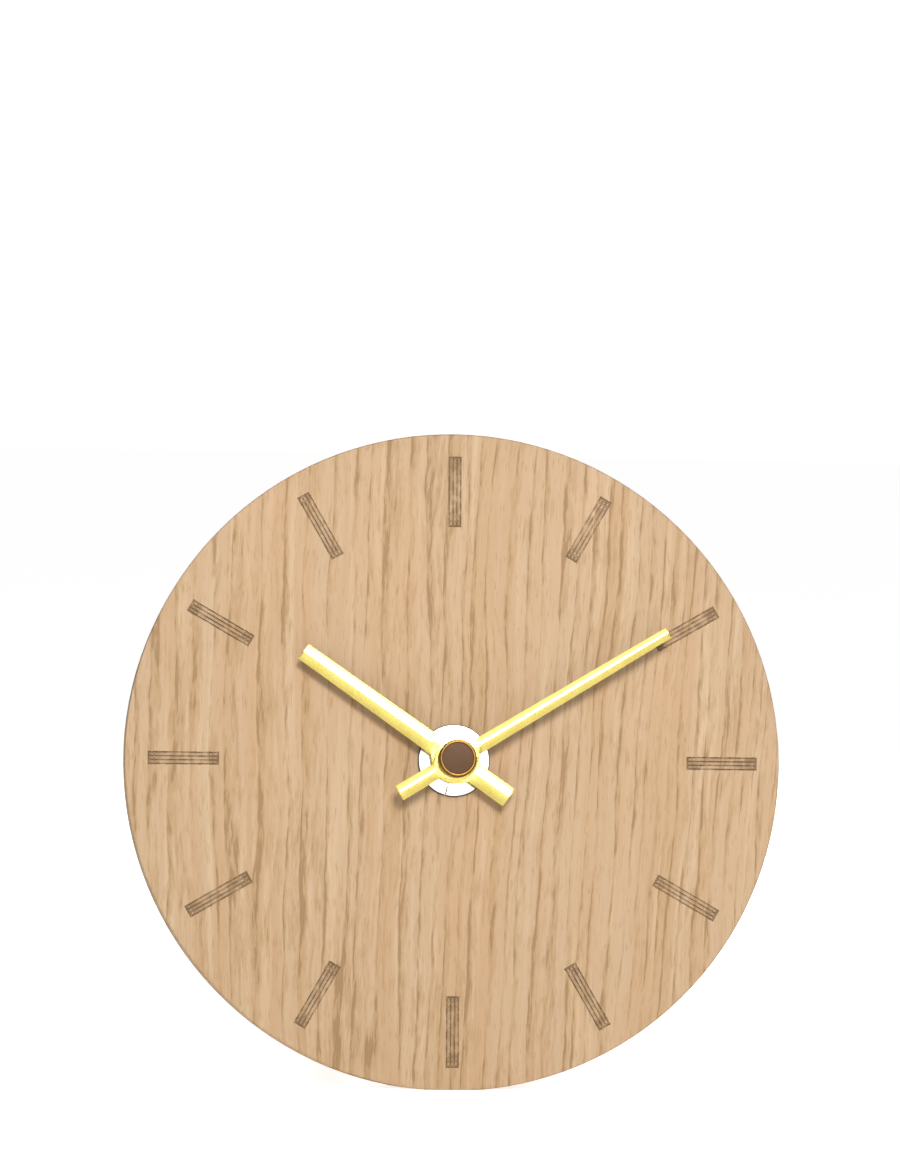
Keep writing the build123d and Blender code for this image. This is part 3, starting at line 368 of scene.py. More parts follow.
def burnt_marks(tree, dial_mm, colour):
    """Scorches the colour where the hour marks were burnt in, twelve times round the dial."""
    parts = add(tree, "ShaderNodeSeparateXYZ", {"Vector": dial_mm})
    x, y, z = parts.outputs
    bearing = add(tree, "ShaderNodeMath", {0: x, 1: y}, operation="ARCTAN2")
    sector = add(tree, "ShaderNodeMath", {0: bearing, 1: HOUR_MARKS / (2 * pi)}, operation="MULTIPLY")
    nearest = add(tree, "ShaderNodeMath", {0: sector}, operation="ROUND")
    off = add(tree, "ShaderNodeMath", {0: sector, 1: nearest}, operation="SUBTRACT")
    turn = add(tree, "ShaderNodeMath", {0: off, 1: 2 * pi / HOUR_MARKS}, operation="MULTIPLY")
    flat = add(tree, "ShaderNodeCombineXYZ", {"X": x, "Y": y})
    radius = add(tree, "ShaderNodeVectorMath", {0: flat}, operation="LENGTH").outputs["Value"]
    sine = add(tree, "ShaderNodeMath", {0: turn}, operation="SINE")
    cosine = add(tree, "ShaderNodeMath", {0: turn}, operation="COSINE")
    across = add(tree, "ShaderNodeMath", {0: radius, 1: sine}, operation="MULTIPLY")
    along = add(tree, "ShaderNodeMath", {0: radius, 1: cosine}, operation="MULTIPLY")
    # The scorched edges wander a little, as the grain takes the heat unevenly.
    ragged = add(tree, "ShaderNodeTexNoise", {"Vector": dial_mm, "Scale": 1.6, "Detail": 2.0})
    wander = add(tree, "ShaderNodeMath", {0: ragged, 1: SCORCH_WANDER, 2: -SCORCH_WANDER / 2},
                 operation="MULTIPLY_ADD")
    straight = add(tree, "ShaderNodeMath", {0: across}, operation="ABSOLUTE")
    aside = add(tree, "ShaderNodeMath", {0: straight, 1: wander}, operation="ADD")
    middle = (HOUR_MARK_INNER + HOUR_MARK_OUTER) / 2
    half = (HOUR_MARK_OUTER - HOUR_MARK_INNER) / 2
    half_width = HOUR_MARK_WIDTH / 2
    from_middle = add(tree, "ShaderNodeMath", {0: along, 1: middle}, operation="SUBTRACT")
    reach = add(tree, "ShaderNodeMath", {0: from_middle}, operation="ABSOLUTE")
    side = add(tree, "ShaderNodeMapRange", {
        "Value": aside, "From Min": half_width, "From Max": half_width + SCORCH_FADE,
        "To Min": 1.0, "To Max": 0.0})
    end = add(tree, "ShaderNodeMapRange", {
        "Value": reach, "From Min": half, "From Max": half + SCORCH_FADE,
        "To Min": 1.0, "To Max": 0.0})
    front = add(tree, "ShaderNodeMapRange", {
        "Value": z, "From Min": DIAL_THICKNESS - 0.6, "From Max": DIAL_THICKNESS - 0.5})
    inside = add(tree, "ShaderNodeMath", {0: side, 1: end}, operation="MULTIPLY")
    inside = add(tree, "ShaderNodeMath", {0: inside, 1: front}, operation="MULTIPLY")
    patch = add(tree, "ShaderNodeTexNoise", {"Vector": dial_mm, "Scale": 0.55, "Detail": 3.0})
    patchy = add(tree, "ShaderNodeMapRange", {
        "Value": patch, "From Min": 0.36, "From Max": 0.62, "To Min": 0.25, "To Max": 1.20})
    # No two marks took the same heat. The mark at 6 is both the lowest and the highest number
    # until they are wrapped.
    number = add(tree, "ShaderNodeMath", {0: nearest, 1: float(HOUR_MARKS), 2: 0.0}, operation="WRAP")
    chance = add(tree, "ShaderNodeTexWhiteNoise", {"W": number}, noise_dimensions="1D")
    heat = add(tree, "ShaderNodeMapRange", {
        "Value": chance.outputs["Value"], "To Min": 0.65, "To Max": 1.15})
    patchy = add(tree, "ShaderNodeMath", {0: patchy, 1: heat}, operation="MULTIPLY")
    # Both ends are crossed by fine slanting passes of the burner.
    hatch = None
    for slant in (-1, 1):
        slope = add(tree, "ShaderNodeMath", {0: across, 1: slant * BURNER_SLANT, 2: along},
                    operation="MULTIPLY_ADD")
        wave = add(tree, "ShaderNodeMath", {0: slope, 1: 2 * pi / BURNER_PITCH}, operation="MULTIPLY")
        crest = add(tree, "ShaderNodeMath", {0: wave}, operation="SINE")
        lines = add(tree, "ShaderNodeMapRange", {"Value": crest, "From Min": 0.1, "From Max": 0.9})
        hatch = lines if hatch is None else add(
            tree, "ShaderNodeMath", {0: hatch, 1: lines}, operation="MAXIMUM")
    at_ends = add(tree, "ShaderNodeMapRange", {
        "Value": reach, "From Min": half - 4.2, "From Max": half - 1.2, "To Min": 0.0, "To Max": 0.55},
        interpolation_type="SMOOTHSTEP")
    hatched = add(tree, "ShaderNodeMath", {0: hatch, 1: at_ends}, operation="MULTIPLY")
    # Between the lines the wood is only toasted, more so towards both ends.
    toast = add(tree, "ShaderNodeMapRange", {
        "Value": reach, "From Min": half - 5.0, "From Max": half, "To Min": 0.50, "To Max": 0.80})
    toasting = add(tree, "ShaderNodeMath", {0: toast, 1: patchy, 2: hatched}, operation="MULTIPLY_ADD")
    toasted = add(tree, "ShaderNodeMath", {0: inside, 1: toasting}, operation="MULTIPLY",
                  use_clamp=True)
    colour = add(tree, "ShaderNodeMix", {0: toasted, 6: colour, 7: linear("#836848")},
                 data_type="RGBA").outputs[2]
    # The floor and walls of each burnt line are charred, unevenly.
    depth = add(tree, "ShaderNodeMapRange", {
        "Value": z, "From Min": DIAL_THICKNESS - 0.12, "From Max": DIAL_THICKNESS - 0.02,
        "To Min": 1.0, "To Max": 0.0})
    char = add(tree, "ShaderNodeMath", {0: depth, 1: inside}, operation="MULTIPLY")
    charred = add(tree, "ShaderNodeMath", {0: char, 1: patchy}, operation="MULTIPLY", use_clamp=True)
    return add(tree, "ShaderNodeMix", {0: charred, 6: colour, 7: linear("#74593C")},
               data_type="RGBA").outputs[2]


def metal(name, colour, stain, roughness, brush, pattern_mm, depth, edge=None):
    # A plated or bare metal: brush gives the direction in which its fine marks are drawn out.
    # edge gives the radius beyond which a round piece's rim is painted a dark colour and made rougher, and that
    # colour: the dark colour is painted shade for the shadow and dark reflection round the rim.
    material, tree, shader, dial_mm = new_material(name)
    scale = [1 / (pattern_mm * (40 if axis == brush else 1)) for axis in "xyz"]
    drawn = add(tree, "ShaderNodeMapping", {"Vector": dial_mm, "Scale": scale})
    marks = add(tree, "ShaderNodeTexNoise", {"Vector": drawn, "Scale": 1.0, "Detail": 3.0})
    cloud = add(tree, "ShaderNodeTexNoise", {"Vector": dial_mm, "Scale": 0.25, "Detail": 2.0})
    tint = add(tree, "ShaderNodeMapRange", {"Value": cloud, "From Min": 0.35, "From Max": 0.75})
    mixed = add(tree, "ShaderNodeMix", {0: tint, 6: linear(colour), 7: linear(stain)},
                data_type="RGBA")
    rough = add(tree, "ShaderNodeMapRange", {"Value": marks, "From Min": 0.3, "From Max": 0.7,
                                             "To Min": roughness * 0.8, "To Max": roughness * 1.25})
    bump = add(tree, "ShaderNodeBump", {"Height": marks, "Strength": 0.25, "Distance": depth * MM})
    # Painted shade: beyond the given radius the colour turns to the given dark one, standing in for the shadow and
    # dark reflection round the rim; it is also made rougher there.
    if edge:
        radius, rim_shade_colour = edge
        flat = add(tree, "ShaderNodeVectorMath", {0: dial_mm, 1: (1, 1, 0)}, operation="MULTIPLY")
        out = add(tree, "ShaderNodeVectorMath", {0: flat}, operation="LENGTH")
        rim_shade_mask = add(tree, "ShaderNodeMapRange", {
            "Value": out.outputs["Value"], "From Min": radius, "From Max": radius + 0.15})
        mixed = add(tree, "ShaderNodeMix", {0: rim_shade_mask, 6: mixed.outputs[2], 7: linear(rim_shade_colour)},
                    data_type="RGBA")
        rough = add(tree, "ShaderNodeMix", {0: rim_shade_mask, 2: rough, 3: 0.6}, data_type="FLOAT")
    feed(tree, shader, {"Base Color": mixed.outputs[2], "Roughness": rough, "Normal": bump,
                        "Metallic": 1.0})
    return material


def battery_skin(name, sleeve, crown, ends):
    # Printed foil sleeve of a dry cell: dark over most of its length, bright near the positive
    # end, with a thin pale band between, and the bare plated steel of both ends.
    material, tree, shader, dial_mm = new_material(name)
    along = add(tree, "ShaderNodeSeparateXYZ", {"Vector": dial_mm}).outputs["X"]
    colour = linear(sleeve)
    for start, tint in ((CROWN_START, ends), (CROWN_START + CROWN_BAND, crown), (SLEEVE_END, ends)):
        beyond = add(tree, "ShaderNodeMath", {0: along, 1: start}, operation="GREATER_THAN")
        colour = add(tree, "ShaderNodeMix", {0: beyond, 6: colour, 7: linear(tint)},
                     data_type="RGBA").outputs[2]
    behind = add(tree, "ShaderNodeMath", {0: along, 1: -SLEEVE_END}, operation="LESS_THAN")
    colour = add(tree, "ShaderNodeMix", {0: behind, 6: colour, 7: linear(ends)},
                 data_type="RGBA").outputs[2]
    scuffs = add(tree, "ShaderNodeMapping", {"Vector": dial_mm, "Scale": (0.05, 1.5, 1.5)})
    noise = add(tree, "ShaderNodeTexNoise", {"Vector": scuffs, "Scale": 1.0, "Detail": 4.0})
    rough = add(tree, "ShaderNodeMapRange", {"Value": noise, "To Min": 0.22, "To Max": 0.40})
    bump = add(tree, "ShaderNodeBump", {"Height": noise, "Strength": 0.2, "Distance": 0.004 * MM})
    feed(tree, shader, {"Base Color": colour, "Roughness": rough, "Normal": bump, "Metallic": 1.0})
    return material


def moulded(name, colour, worn, roughness, grit_mm, depth, ior=1.5, shine=0.5):
    # Injection-moulded plastic, rubber or cured resin: a spark-eroded grain from the mould,
    # slightly uneven colour and gloss.
    material, tree, shader, dial_mm = new_material(name)
    grit = add(tree, "ShaderNodeTexNoise", {"Vector": dial_mm, "Scale": 1 / grit_mm, "Detail": 2.0})
    cloud = add(tree, "ShaderNodeTexNoise", {"Vector": dial_mm, "Scale": 0.12, "Detail": 3.0})
    mixed = add(tree, "ShaderNodeMix", {0: cloud, 6: linear(colour), 7: linear(worn)},
                data_type="RGBA")
    rough = add(tree, "ShaderNodeMapRange", {"Value": grit, "From Min": 0.3, "From Max": 0.7,
                                             "To Min": roughness - 0.06, "To Max": roughness + 0.08})
    bump = add(tree, "ShaderNodeBump", {"Height": grit, "Strength": 0.3, "Distance": depth * MM})
    feed(tree, shader, {"Base Color": mixed.outputs[2], "Roughness": rough, "Normal": bump,
                        "IOR": ior, "Specular IOR Level": shine})
    return material


MATERIALS = {
    "oak": oak("oiled white oak", "#B89C7C", marks=True),
    "oak_peg": oak("turned white oak", "#AF9371", grain_turn=-pi / 2),
    "hand_brass": metal("satin brass plate", "#D8C56E", "#CFBA62", 0.25, "", 0.25, 0.002),
    "cap_brass": metal("aged turned brass", "#75562B", "#664922", 0.30, "", 0.4, 0.002),
    "dark_inlay": moulded("smoked brown enamel", "#644830", "#553B26", 0.38, 1.2, 0.002, shine=0.08),
    # The washer's dark grey rim is painted shade, standing in for the shadow and dark reflection round its edge.
    "washer_nickel": metal("bright nickel plate", "#E9E6DF", "#DAD6CC", 0.14, "", 0.5, 0.002,
                          edge=(WASHER_RIM_SHADE_START, "#54504A")),
    "hardware_brass": metal("turned brass", "#D8B25A", "#B98F3D", 0.24, "z", 0.2, 0.01),
    "steel": metal("zinc plated steel", "#C6C8C8", "#A9ACB0", 0.32, "x", 0.3, 0.01),
    "case_plastic": moulded("black moulded ABS", "#1B1B1C", "#242425", 0.46, 0.30, 0.02),
    "cover_plastic": moulded("dark moulded ABS", "#222224", "#2A2A2C", 0.42, 0.35, 0.015),
    "knob_plastic": moulded("black acetal", "#171717", "#202020", 0.38, 0.40, 0.01),
    "gear_plastic": moulded("natural acetal", "#EDEAE0", "#E2DED0", 0.34, 0.50, 0.005, 1.48),
    "plate_plastic": moulded("grey moulded ABS", "#8D9194", "#9A9DA0", 0.45, 0.35, 0.012),
    "rubber": moulded("dark moulded rubber", "#262422", "#34312E", 0.72, 0.45, 0.03, 1.52),
    "magnet": moulded("sintered ferrite", "#3A3B3D", "#47484B", 0.40, 0.25, 0.02),
    "soft_iron": metal("soft iron lamination", "#A7A6A2", "#8E8C87", 0.36, "x", 0.25, 0.01),
    "bobbin_plastic": moulded("white nylon", "#E6E2D6", "#D8D3C4", 0.42, 0.40, 0.008),
    "copper_wire": metal("enamelled copper wire", "#C9692F", "#B4551F", 0.24, "", 0.15, 0.004),
    "board": moulded("solder-masked glass laminate", "#1F5B34", "#2A6B3E", 0.36, 0.60, 0.01),
    "resin": moulded("cured black resin", "#141415", "#1E1E20", 0.22, 1.50, 0.02, 1.55),
    "battery_wrap": battery_skin("printed battery sleeve", "#2B2A2C", "#B87F33", "#C9C8C4"),
    "contact_nickel": metal("nickel plated spring strip", "#D4D2CB", "#BDBAB2", 0.24, "y", 0.2, 0.005),
}


# ---------------------------------------------------------------- hands
HOUR_HAND = {"tip": 45.3, "tail": 15.9, "tip_width": 4.3, "hub_width": 5.0, "tail_width": 5.1,
             "hub_radius": 5.7, "hub_thickness": 0.6, "edge": 0.22, "crest": 0.14,
             "low": DIAL_THICKNESS + 4.2}
MINUTE_HAND = {"tip": 60.5, "tail": 16.2, "tip_width": 2.8, "hub_width": 3.85, "tail_width": 3.95,
               "hub_radius": 5.2, "hub_thickness": 0.7, "edge": 0.22, "crest": 0.36,
               "low": DIAL_THICKNESS + 6.2}
HAND_TIME = {"hour_hand": (HOURS + MINUTES / 60) * 30, "minute_hand": MINUTES * 6}
FOLD = radians(17)                   # slope of a blade's two facets
SHOULDER = 2.4                       # how far the blade's edge flares where it meets the hub


def soft_max(first, second, reach):
    """The larger value, blended where the two are within reach of each other."""
    overlap = max(reach - abs(first - second), 0) / reach
    return max(first, second) + overlap * overlap * reach / 4


def hand_shape(hand, clockwise, bore):
    """A folded sheet hand at its resting time: a ridged blade flared into a flat round hub."""
    hub = hand["hub_radius"]
    rows = 150
    sections = []
    for row in range(rows + 1):
        y = -hand["tail"] + (hand["tip"] + hand["tail"]) * row / rows
        if y < 0:
            blade = hand["hub_width"] + (hand["tail_width"] - hand["hub_width"]) * -y / hand["tail"]
        else:
            blade = hand["hub_width"] + (hand["tip_width"] - hand["hub_width"]) * y / hand["tip"]
        blade /= 2
        disc = sqrt(hub * hub - y * y) if abs(y) < hub else -2.5 * (abs(y) - hub)
        edge = soft_max(blade, disc, SHOULDER)
        on_hub = 1 - smooth_step(hub - 0.6, hub + 2.6, abs(y))
        rise = (blade - hand["crest"]) * tan(FOLD) * (1 - on_hub)
        rim = hand["edge"] + (hand["hub_thickness"] - hand["edge"]) * on_hub
        crest = hand["crest"]
        low = hand["low"]
        across = [(-edge, rim), (-blade, rim), (-blade / 2, rim + rise / 2), (-crest, rim + rise),
                  (crest, rim + rise), (blade / 2, rim + rise / 2), (blade, rim), (edge, rim)]
        loop = [(-edge, y, low)] + [(x, y, low + height) for x, height in across] + [(edge, y, low)]
        sections.append(loop)
    below, above = hand["low"] - 3, hand["low"] + 3
    hole = turned([(0.0, below), (bore, below), (bore, above), (0.0, above)])
    mesh = eased(cut(loft(sections), hole), 0.04)
    mesh.transform(Matrix.Rotation(-radians(clockwise), 4, "Z"))
    return mesh


def hour_hand():
    """The hour hand with the collar that grips its tube."""
    low = HOUR_HAND["low"]
    blade = hand_shape(HOUR_HAND, HAND_TIME["hour_hand"], 2.55)
    collar = turned([(2.55, low - 0.5), (3.3, low - 0.5), (3.4, low - 0.4), (3.4, low + 0.85),
                     (3.3, low + 0.95), (2.55, low + 0.95)])
    return joined(blade, collar)


# ---------------------------------------------------------------- cap, washer and nut
def cap_nut():
    """The turned cap that holds the hands: a plain barrel with a soft rim round a shallow dish."""
    low, high = (corner.z for corner in dial_box("cap_nut"))
    barrel = 4.6
    dish = barrel - 0.75
    rim = 0.5
    bend = [(barrel - rim + rim * cos(radians(turn)), high - rim + rim * sin(radians(turn)))
            for turn in range(0, 91, 15)]
    return turned([(1.4, low), (barrel - 0.12, low), (barrel, low + 0.12)] + bend + [
        (dish + 0.08, high - 0.02), (dish, high - 0.1), (dish, high - 0.5), (0.0, high - 0.5),
        (0.0, high - 0.9), (1.4, high - 0.9)], segments=128)


def cap_inlay():
    """A slightly domed enamel disc in the cap's dish."""
    low, high = (corner.z for corner in dial_box("cap_inlay"))
    radius = 3.85
    dome = [(radius * share, high - 0.12 * share * share)
            for share in (0.98, 0.9, 0.75, 0.5, 0.25, 0.0)]
    side = [(0.0, low), (radius - 0.03, low), (radius, low + 0.04), (radius, high - 0.2)]
    return turned(side + dome, segments=128)


def dial_washer():
    """The thin punched washer under the dial nut, with a short slot in from its rim."""
    low, high = (corner.z for corner in dial_box("dial_washer"))
    inner, outer = BUSHING_BORE, WASHER_RADIUS
    slump = 0.12                      # how far the punch drags the outer edge down
    disc = turned([(inner, low), (outer, low), (outer, high - 0.35), (outer - 0.03, high - slump),
                   (outer - 0.15, high - 0.03), (outer - 0.35, high), (inner + 0.1, high),
                   (inner, high - 0.1)], segments=160)
    slot_start, slot_width = 6.6, 0.38
    slot = box((-slot_width / 2, slot_width / 2), (slot_start, outer + 1), (low - 1, high + 1))
    slot.transform(Matrix.Rotation(-radians(WASHER_SLOT), 4, "Z"))
    return cut(disc, slot)


def dial_nut():
    """The hexagonal bushing nut, its corners rounded off to a cone by the lathe."""
    low, high = (corner.z for corner in dial_box("dial_nut"))
    flats, corners = NUT_FLATS / 2, NUT_FLATS / sqrt(3)
    points = [(corners * cos(radians(turn)), corners * sin(radians(turn)))
              for turn in range(0, 360, 60)]
    body = prism(points, low, high)
    cone = turned([(flats - 0.05, high + 0.01), (corners + 1, high + 0.01), (corners + 1, high - 0.75)],
                  segments=96)
    bore = turned([(0.0, low - 1), (BUSHING_BORE, low - 1), (BUSHING_BORE, high - 0.2),
                   (BUSHING_BORE + 0.2, high + 0.02), (BUSHING_BORE + 0.2, high + 1), (0.0, high + 1)],
                  segments=64)
    return eased(cut(body, cone, bore), 0.05)


piece("folded_hour_hand", hour_hand(), "hour_drive", MATERIALS["hand_brass"],
      ["hour_hand"])
piece("folded_minute_hand", hand_shape(MINUTE_HAND, HAND_TIME["minute_hand"], 1.7), "minute_drive",
      MATERIALS["hand_brass"], ["minute_hand"])
piece("turned_cap", cap_nut(), "minute_drive", MATERIALS["cap_brass"], ["cap_nut"])
piece("domed_inlay", cap_inlay(), "minute_drive", MATERIALS["dark_inlay"], ["cap_inlay"])
piece("sheared_washer", dial_washer(), "frame", MATERIALS["washer_nickel"],
      ["dial_washer"])
piece("coned_dial_nut", dial_nut(), "frame", MATERIALS["hardware_brass"],
      ["dial_nut"])


# ---------------------------------------------------------------- the back
def battery_cell():
    """A dry cell lying along x: crimped steel ends, a shrunk sleeve and the positive nub."""
    low, high = dial_box("battery")
    radius = (high.y - low.y) / 2
    back, front, nub = low.x, high.x - BATTERY_NUB, high.x
    negative_end = [(0.0, back + 0.35), (5.6, back + 0.35), (5.9, back), (radius - 0.75, back),
                    (radius - 0.2, back + 0.25), (radius, back + 0.8)]
    positive_end = [(radius, front - 0.9), (radius - 0.2, front - 0.3), (radius - 0.7, front),
                    (radius - 1.2, front - 0.25), (5.2, front - 0.3), (4.4, front - 0.1),
                    (3.1, front - 0.1), (2.7, front + 0.15), (2.6, nub - 0.25), (2.35, nub), (0.0, nub)]
    cell = turned(negative_end + positive_end, segments=96)
    cell.transform(Matrix.Translation((0, (low.y + high.y) / 2, (low.z + high.z) / 2))
                   @ Matrix.Rotation(pi / 2, 4, "Y"))
    return cell


def islands(name):
    """The box of each separate solid in a CAD node, as (lowest, highest) corners in the dial's mm."""
    shape = bmesh.new()
    shape.from_mesh(nodes[name].data)
    bmesh.ops.remove_doubles(shape, verts=shape.verts, dist=1e-6)
    left = set(shape.verts)
    boxes = []
    while left:
        front = [left.pop()]
        found = []
        while front:
            vertex = front.pop()
            found.append(in_dial(vertex.co))
            for edge in vertex.link_edges:
                other = edge.other_vert(vertex)
                if other in left:
                    left.remove(other)
                    front.append(other)
        boxes.append([Vector([pick(point[axis] for point in found) for axis in range(3)])
                      for pick in (min, max)])
    shape.free()
    return sorted(boxes, key=lambda corners: corners[0].x)


def cross_screw(radius, head, length, shank):
    """A pan-head screw with a cross recess, its head at z = 0 and its point towards +z."""
    pan = [(0.0, -head), (radius * 0.45, -head * 0.98), (radius * 0.75, -head * 0.86),
           (radius * 0.93, -head * 0.55), (radius, -head * 0.2), (radius, 0.0),
           (shank, 0.0), (shank, length - shank), (0.0, length)]
    long, wide = radius * 0.55, radius * 0.11
    slot = box((-long, long), (-wide, wide), (-head - 0.1, -head * 0.35))
    crossing = box((-wide, wide), (-long, long), (-head - 0.1, -head * 0.35))
    return eased(cut(turned(pan, segments=48), slot, crossing), 0.03)


def place_screws():
    """A modifier tree that puts a copy of one screw at every point, each left at its own angle."""
    tree = bpy.data.node_groups.new("screws at points", "GeometryNodeTree")
    sockets = {}
    for label, kind in (("Geometry", "Geometry"), ("Screw", "Object"), ("Material", "Material"),
                        ("Seed", "Int")):
        made = tree.interface.new_socket(label, in_out="INPUT", socket_type="NodeSocket" + kind)
        sockets[label] = made.identifier
    tree.interface.new_socket("Geometry", in_out="OUTPUT", socket_type="NodeSocketGeometry")
    start = add(tree, "NodeGroupInput")
    source = add(tree, "GeometryNodeObjectInfo", {"Object": start.outputs["Screw"]})
    spin = add(tree, "FunctionNodeRandomValue", {
        0: (0, 0, 0), 1: (0, 0, pi), "Seed": start.outputs["Seed"]}, data_type="FLOAT_VECTOR")
    copies = add(tree, "GeometryNodeInstanceOnPoints", {
        "Points": start.outputs["Geometry"], "Instance": source.outputs["Geometry"],
        "Rotation": spin})
    solid = add(tree, "GeometryNodeRealizeInstances", {"Geometry": copies})
    dressed = add(tree, "GeometryNodeSetMaterial", {"Geometry": solid,
                                                    "Material": start.outputs["Material"]})
    add(tree, "NodeGroupOutput", {"Geometry": dressed})
    return tree, sockets


SCREW_TREE, SCREW_SOCKETS = place_screws()


def screws(name, head, shank, seed):
    """Cross-head screws in place of a CAD node's screws; head is how thick their heads are."""
    boxes = islands(name)
    low, high = boxes[0]
    screw = cross_screw((high.x - low.x) / 2, head, high.z - low.z - head, shank)
    template = bpy.data.objects.new("template", screw)
    bpy.context.scene.collection.objects.link(template)
    spots = [((low.x + high.x) / 2, (low.y + high.y) / 2, low.z + head) for low, high in boxes]
    worker = bpy.data.objects.new("worker", mesh_from(spots, []))
    bpy.context.scene.collection.objects.link(worker)
    modifier = worker.modifiers.new("screws", "NODES")
    modifier.node_group = SCREW_TREE
    for label, value in (("Screw", template), ("Material", MATERIALS["steel"]), ("Seed", seed)):
        modifier[SCREW_SOCKETS[label]] = value
    finished = worker.evaluated_get(bpy.context.evaluated_depsgraph_get())
    made = bpy.data.meshes.new_from_object(finished)
    bpy.data.objects.remove(worker)
    bpy.data.objects.remove(template)
    return made


def cover_relief():
    """Moulded signs on the back cover: two arrows round the knob and the battery's + and -."""
    knob_low, knob_high = dial_box("setting_knob")
    cover_low = dial_box("rear_cover")[0]
    back = cover_low.z + COVER_RING
    low, high = back - SIGN_RELIEF, back + 0.1
    middle = (knob_low + knob_high) / 2
    signs = []
    for start in (20, 200):
        inner = [(10.4, turn) for turn in range(start, start + 101, 4)]
        outer = [(11.1, turn) for turn in range(start + 100, start - 1, -4)]
        head = [(9.7, start + 100), (10.75, start + 112), (11.8, start + 100)]
        outline = [(middle.x + reach * cos(radians(turn)), middle.y + reach * sin(radians(turn)))
                   for reach, turn in inner + head + outer]
        signs.append(prism(outline, low, high))
    row = cover_low.y + 3.2
    arm, half = 1.5, 0.35
    for x in (-15.0, 15.0):
        signs.append(box((x - arm, x + arm), (row - half, row + half), (low, high)))
    plus = [(15.0 + x, row + y) for x, y in ((-half, -arm), (half, -arm), (half, arm), (-half, arm))]
    signs.append(prism(plus, low, high))
    return eased(joined(*signs), 0.06)


piece("crimped_battery", battery_cell(), "frame", MATERIALS["battery_wrap"],
      ["battery"])
piece("cross_cover_screws", screws("cover_screws", 0.6, 0.8, 3), "frame", MATERIALS["steel"],
      ["cover_screws"])
piece("cross_hanger_screws", screws("hanger_screws", 0.9, 0.8, 5), "frame", MATERIALS["steel"],
      ["hanger_screws"])
piece("cover_signs", cover_relief(), "frame", MATERIALS["cover_plastic"], None)


# ---------------------------------------------------------------- finish on the CAD nodes
def merged_and_smooth():
    """A modifier tree that joins a CAD node's loose triangles and smooths its round faces."""
    tree = bpy.data.node_groups.new("smooth round faces", "GeometryNodeTree")
    tree.interface.new_socket("Geometry", in_out="INPUT", socket_type="NodeSocketGeometry")
    angle = tree.interface.new_socket("Sharp angle", in_out="INPUT", socket_type="NodeSocketFloat")
    tree.interface.new_socket("Geometry", in_out="OUTPUT", socket_type="NodeSocketGeometry")
    start = add(tree, "NodeGroupInput")
    merged = add(tree, "GeometryNodeMergeByDistance", {"Geometry": start, "Distance": 1e-6})
    turn = add(tree, "GeometryNodeInputMeshEdgeAngle")
    sharp = add(tree, "FunctionNodeCompare", {
        0: turn.outputs["Unsigned Angle"], 1: start.outputs["Sharp angle"]},
        data_type="FLOAT", operation="GREATER_THAN")
    faces = add(tree, "GeometryNodeSetShadeSmooth", {"Geometry": merged, "Shade Smooth": True},
                domain="FACE")
    blunt = add(tree, "FunctionNodeBooleanMath", {0: sharp}, operation="NOT")
    edges = add(tree, "GeometryNodeSetShadeSmooth", {"Geometry": faces,
                                                     "Shade Smooth": blunt}, domain="EDGE")
    add(tree, "NodeGroupOutput", {"Geometry": edges})
    return tree, angle.identifier


SMOOTHING, SHARP_ANGLE = merged_and_smooth()
slots = {row["node"]: row["material_slot"] for row in frame["record"]["subparts"]}

for name, cad in nodes.items():
    cad.data.materials.clear()
    cad.data.materials.append(MATERIALS[slots[name]])
    if cad.hide_render:
        continue
    smoothing = cad.modifiers.new("smooth round faces", "NODES")
    smoothing.node_group = SMOOTHING
    smoothing[SHARP_ANGLE] = SHARP_CAD_EDGE


# ---------------------------------------------------------------- studio
RIGHT = Vector((1, 0, 0))
OUT = -INTO
UP = OUT.cross(RIGHT)
FACE_CENTRE = DIAL @ Vector((0, 0, DIAL_THICKNESS))
LIGHT_DISTANCE = 0.9                 # metres from the middle of the face


def towards(right, up, out):
    """The unit world direction of a dial direction."""
    return (right * RIGHT + up * UP + out * OUT).normalized()


def softbox(name, direction, size, brightness, only_reflected=False):
    """A square soft light aimed at the dial; brightness is how bright its own face is."""
    light = bpy.data.lights.new(name, "AREA")
    light.shape = "SQUARE"
    light.size = size
    light.energy = brightness * pi * size * size
    lamp = bpy.data.objects.new(name, light)
    lamp.location = FACE_CENTRE + direction * LIGHT_DISTANCE
    lamp.rotation_mode = "QUATERNION"
    lamp.rotation_quaternion = direction.to_track_quat("Z", "Y")
    lamp.visible_camera = False
    lamp.visible_diffuse = not only_reflected
    bpy.context.scene.collection.objects.link(lamp)


def studio_floor(light, seen):
    """A wide pale tabletop, its glow split as the studio's surroundings are."""
    shape = bmesh.new()
    bmesh.ops.create_circle(shape, cap_ends=True, segments=96, radius=6.0)
    mesh = bpy.data.meshes.new("pale_tabletop")
    shape.to_mesh(mesh)
    shape.free()
    floor = bpy.data.objects.new("pale_tabletop", mesh)
    bpy.context.scene.collection.objects.link(floor)
    material, tree, shader, dial_mm = new_material("matt white laminate")
    speck = add(tree, "ShaderNodeTexNoise", {"Vector": dial_mm, "Scale": 0.5, "Detail": 2.0})
    tone = add(tree, "ShaderNodeMix", {0: speck, 6: linear("#FBFBFA"), 7: linear("#F7F7F6")},
               data_type="RGBA")
    path = add(tree, "ShaderNodeLightPath")
    glow = add(tree, "ShaderNodeMix", {0: path.outputs["Is Camera Ray"], 2: light, 3: seen},
               data_type="FLOAT")
    feed(tree, shader, {"Base Color": tone.outputs[2], "Roughness": 1.0, "Specular IOR Level": 0.0,
                        "Emission Color": (1, 1, 1, 1), "Emission Strength": glow})
    mesh.materials.append(material)


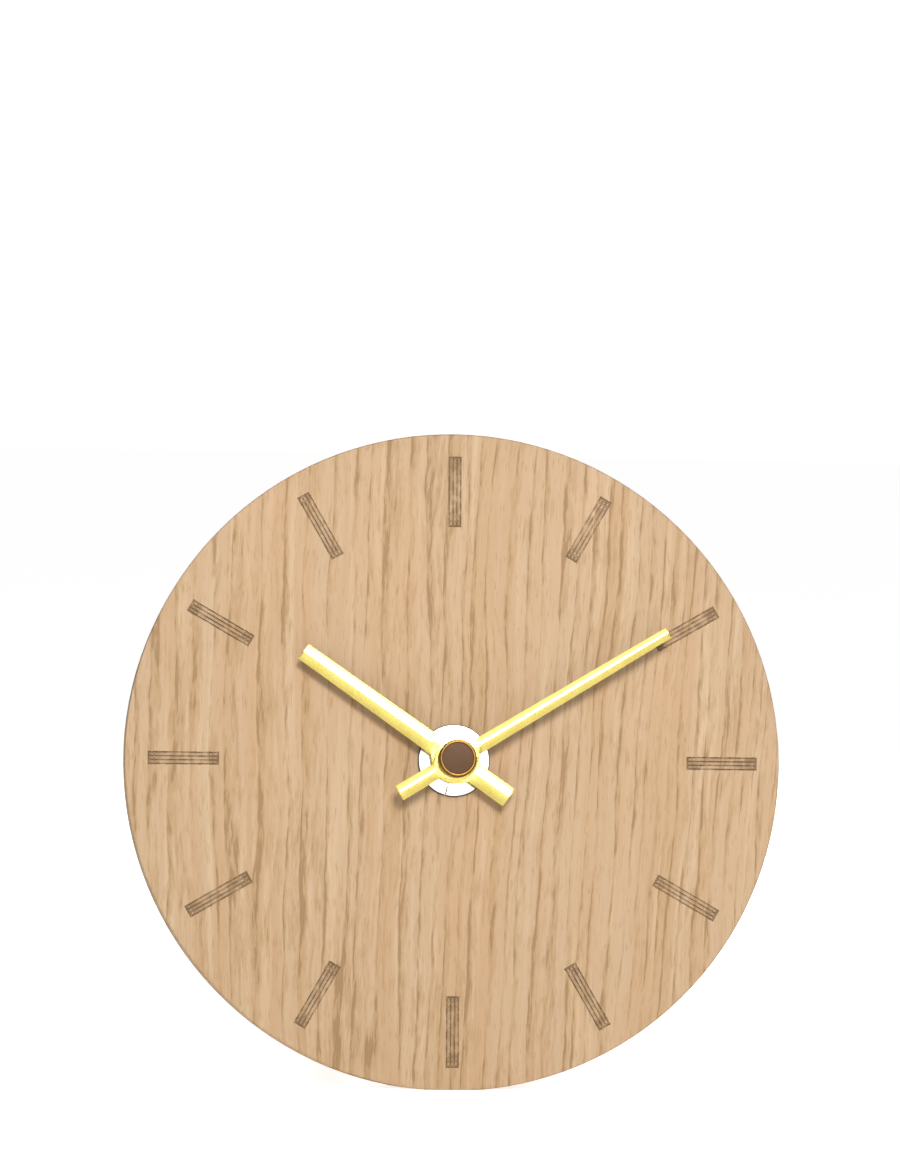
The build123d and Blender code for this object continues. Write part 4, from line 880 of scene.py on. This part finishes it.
def studio_world(light, mirrored, seen):
    """Even white surroundings: how bright they are as light, in reflections and to the camera."""
    world = bpy.data.worlds.new("white studio")
    world.use_nodes = True
    tree = world.node_tree
    tree.nodes.clear()
    path = add(tree, "ShaderNodeLightPath")
    shiny = add(tree, "ShaderNodeMix", {0: path.outputs["Is Glossy Ray"], 2: light, 3: mirrored},
                data_type="FLOAT")
    strength = add(tree, "ShaderNodeMix", {0: path.outputs["Is Camera Ray"], 2: shiny, 3: seen},
                   data_type="FLOAT")
    glow = add(tree, "ShaderNodeBackground", {"Color": (1, 1, 1, 1), "Strength": strength})
    add(tree, "ShaderNodeOutputWorld", {"Surface": glow})
    bpy.context.scene.world = world


def studio_camera():
    """Looks a little from below and from the left of the dial, with the clock low in the frame."""
    distance = 1.4
    frame_height = 0.2862                 # what the picture's height spans at the dial
    aim = FACE_CENTRE + 0.0422 * UP - 0.0011 * RIGHT
    roll = radians(1.07)
    data = bpy.data.cameras.new("camera")
    data.sensor_width = 36.0
    data.lens = data.sensor_width * distance / frame_height
    data.clip_start = 0.05
    camera = bpy.data.objects.new("camera", data)
    camera.location = FACE_CENTRE + towards(-0.101, -0.0607, 1) * distance
    away = camera.location - aim
    camera.rotation_mode = "QUATERNION"
    camera.rotation_quaternion = away.to_track_quat("Z", "Y")
    camera.rotation_quaternion = (Matrix.Rotation(roll, 3, away.normalized())
                                  @ camera.rotation_quaternion.to_matrix()).to_quaternion()
    bpy.context.scene.collection.objects.link(camera)
    bpy.context.scene.camera = camera


studio_floor(0.30, 0.75)
studio_world(0.25, 0.55, 1.05)
softbox("key_softbox", towards(0.04, 0.34, 0.94), 0.24, 38.5)
softbox("front_card", towards(0.105, 0.07, 0.99), 0.30, 3.0, only_reflected=True)
softbox("top_right_card", towards(0.34, 0.48, 0.80), 0.52, 8.0, only_reflected=True)
softbox("top_left_card", towards(-0.20, 0.56, 0.80), 0.60, 0.95, only_reflected=True)
softbox("low_card", towards(-0.08, -0.21, 0.97), 0.44, 0.95, only_reflected=True)
softbox("rear_softbox", towards(0.35, 0.45, -0.8), 0.60, 4.0)
studio_camera()
bpy.context.scene.view_settings.view_transform = "Standard"
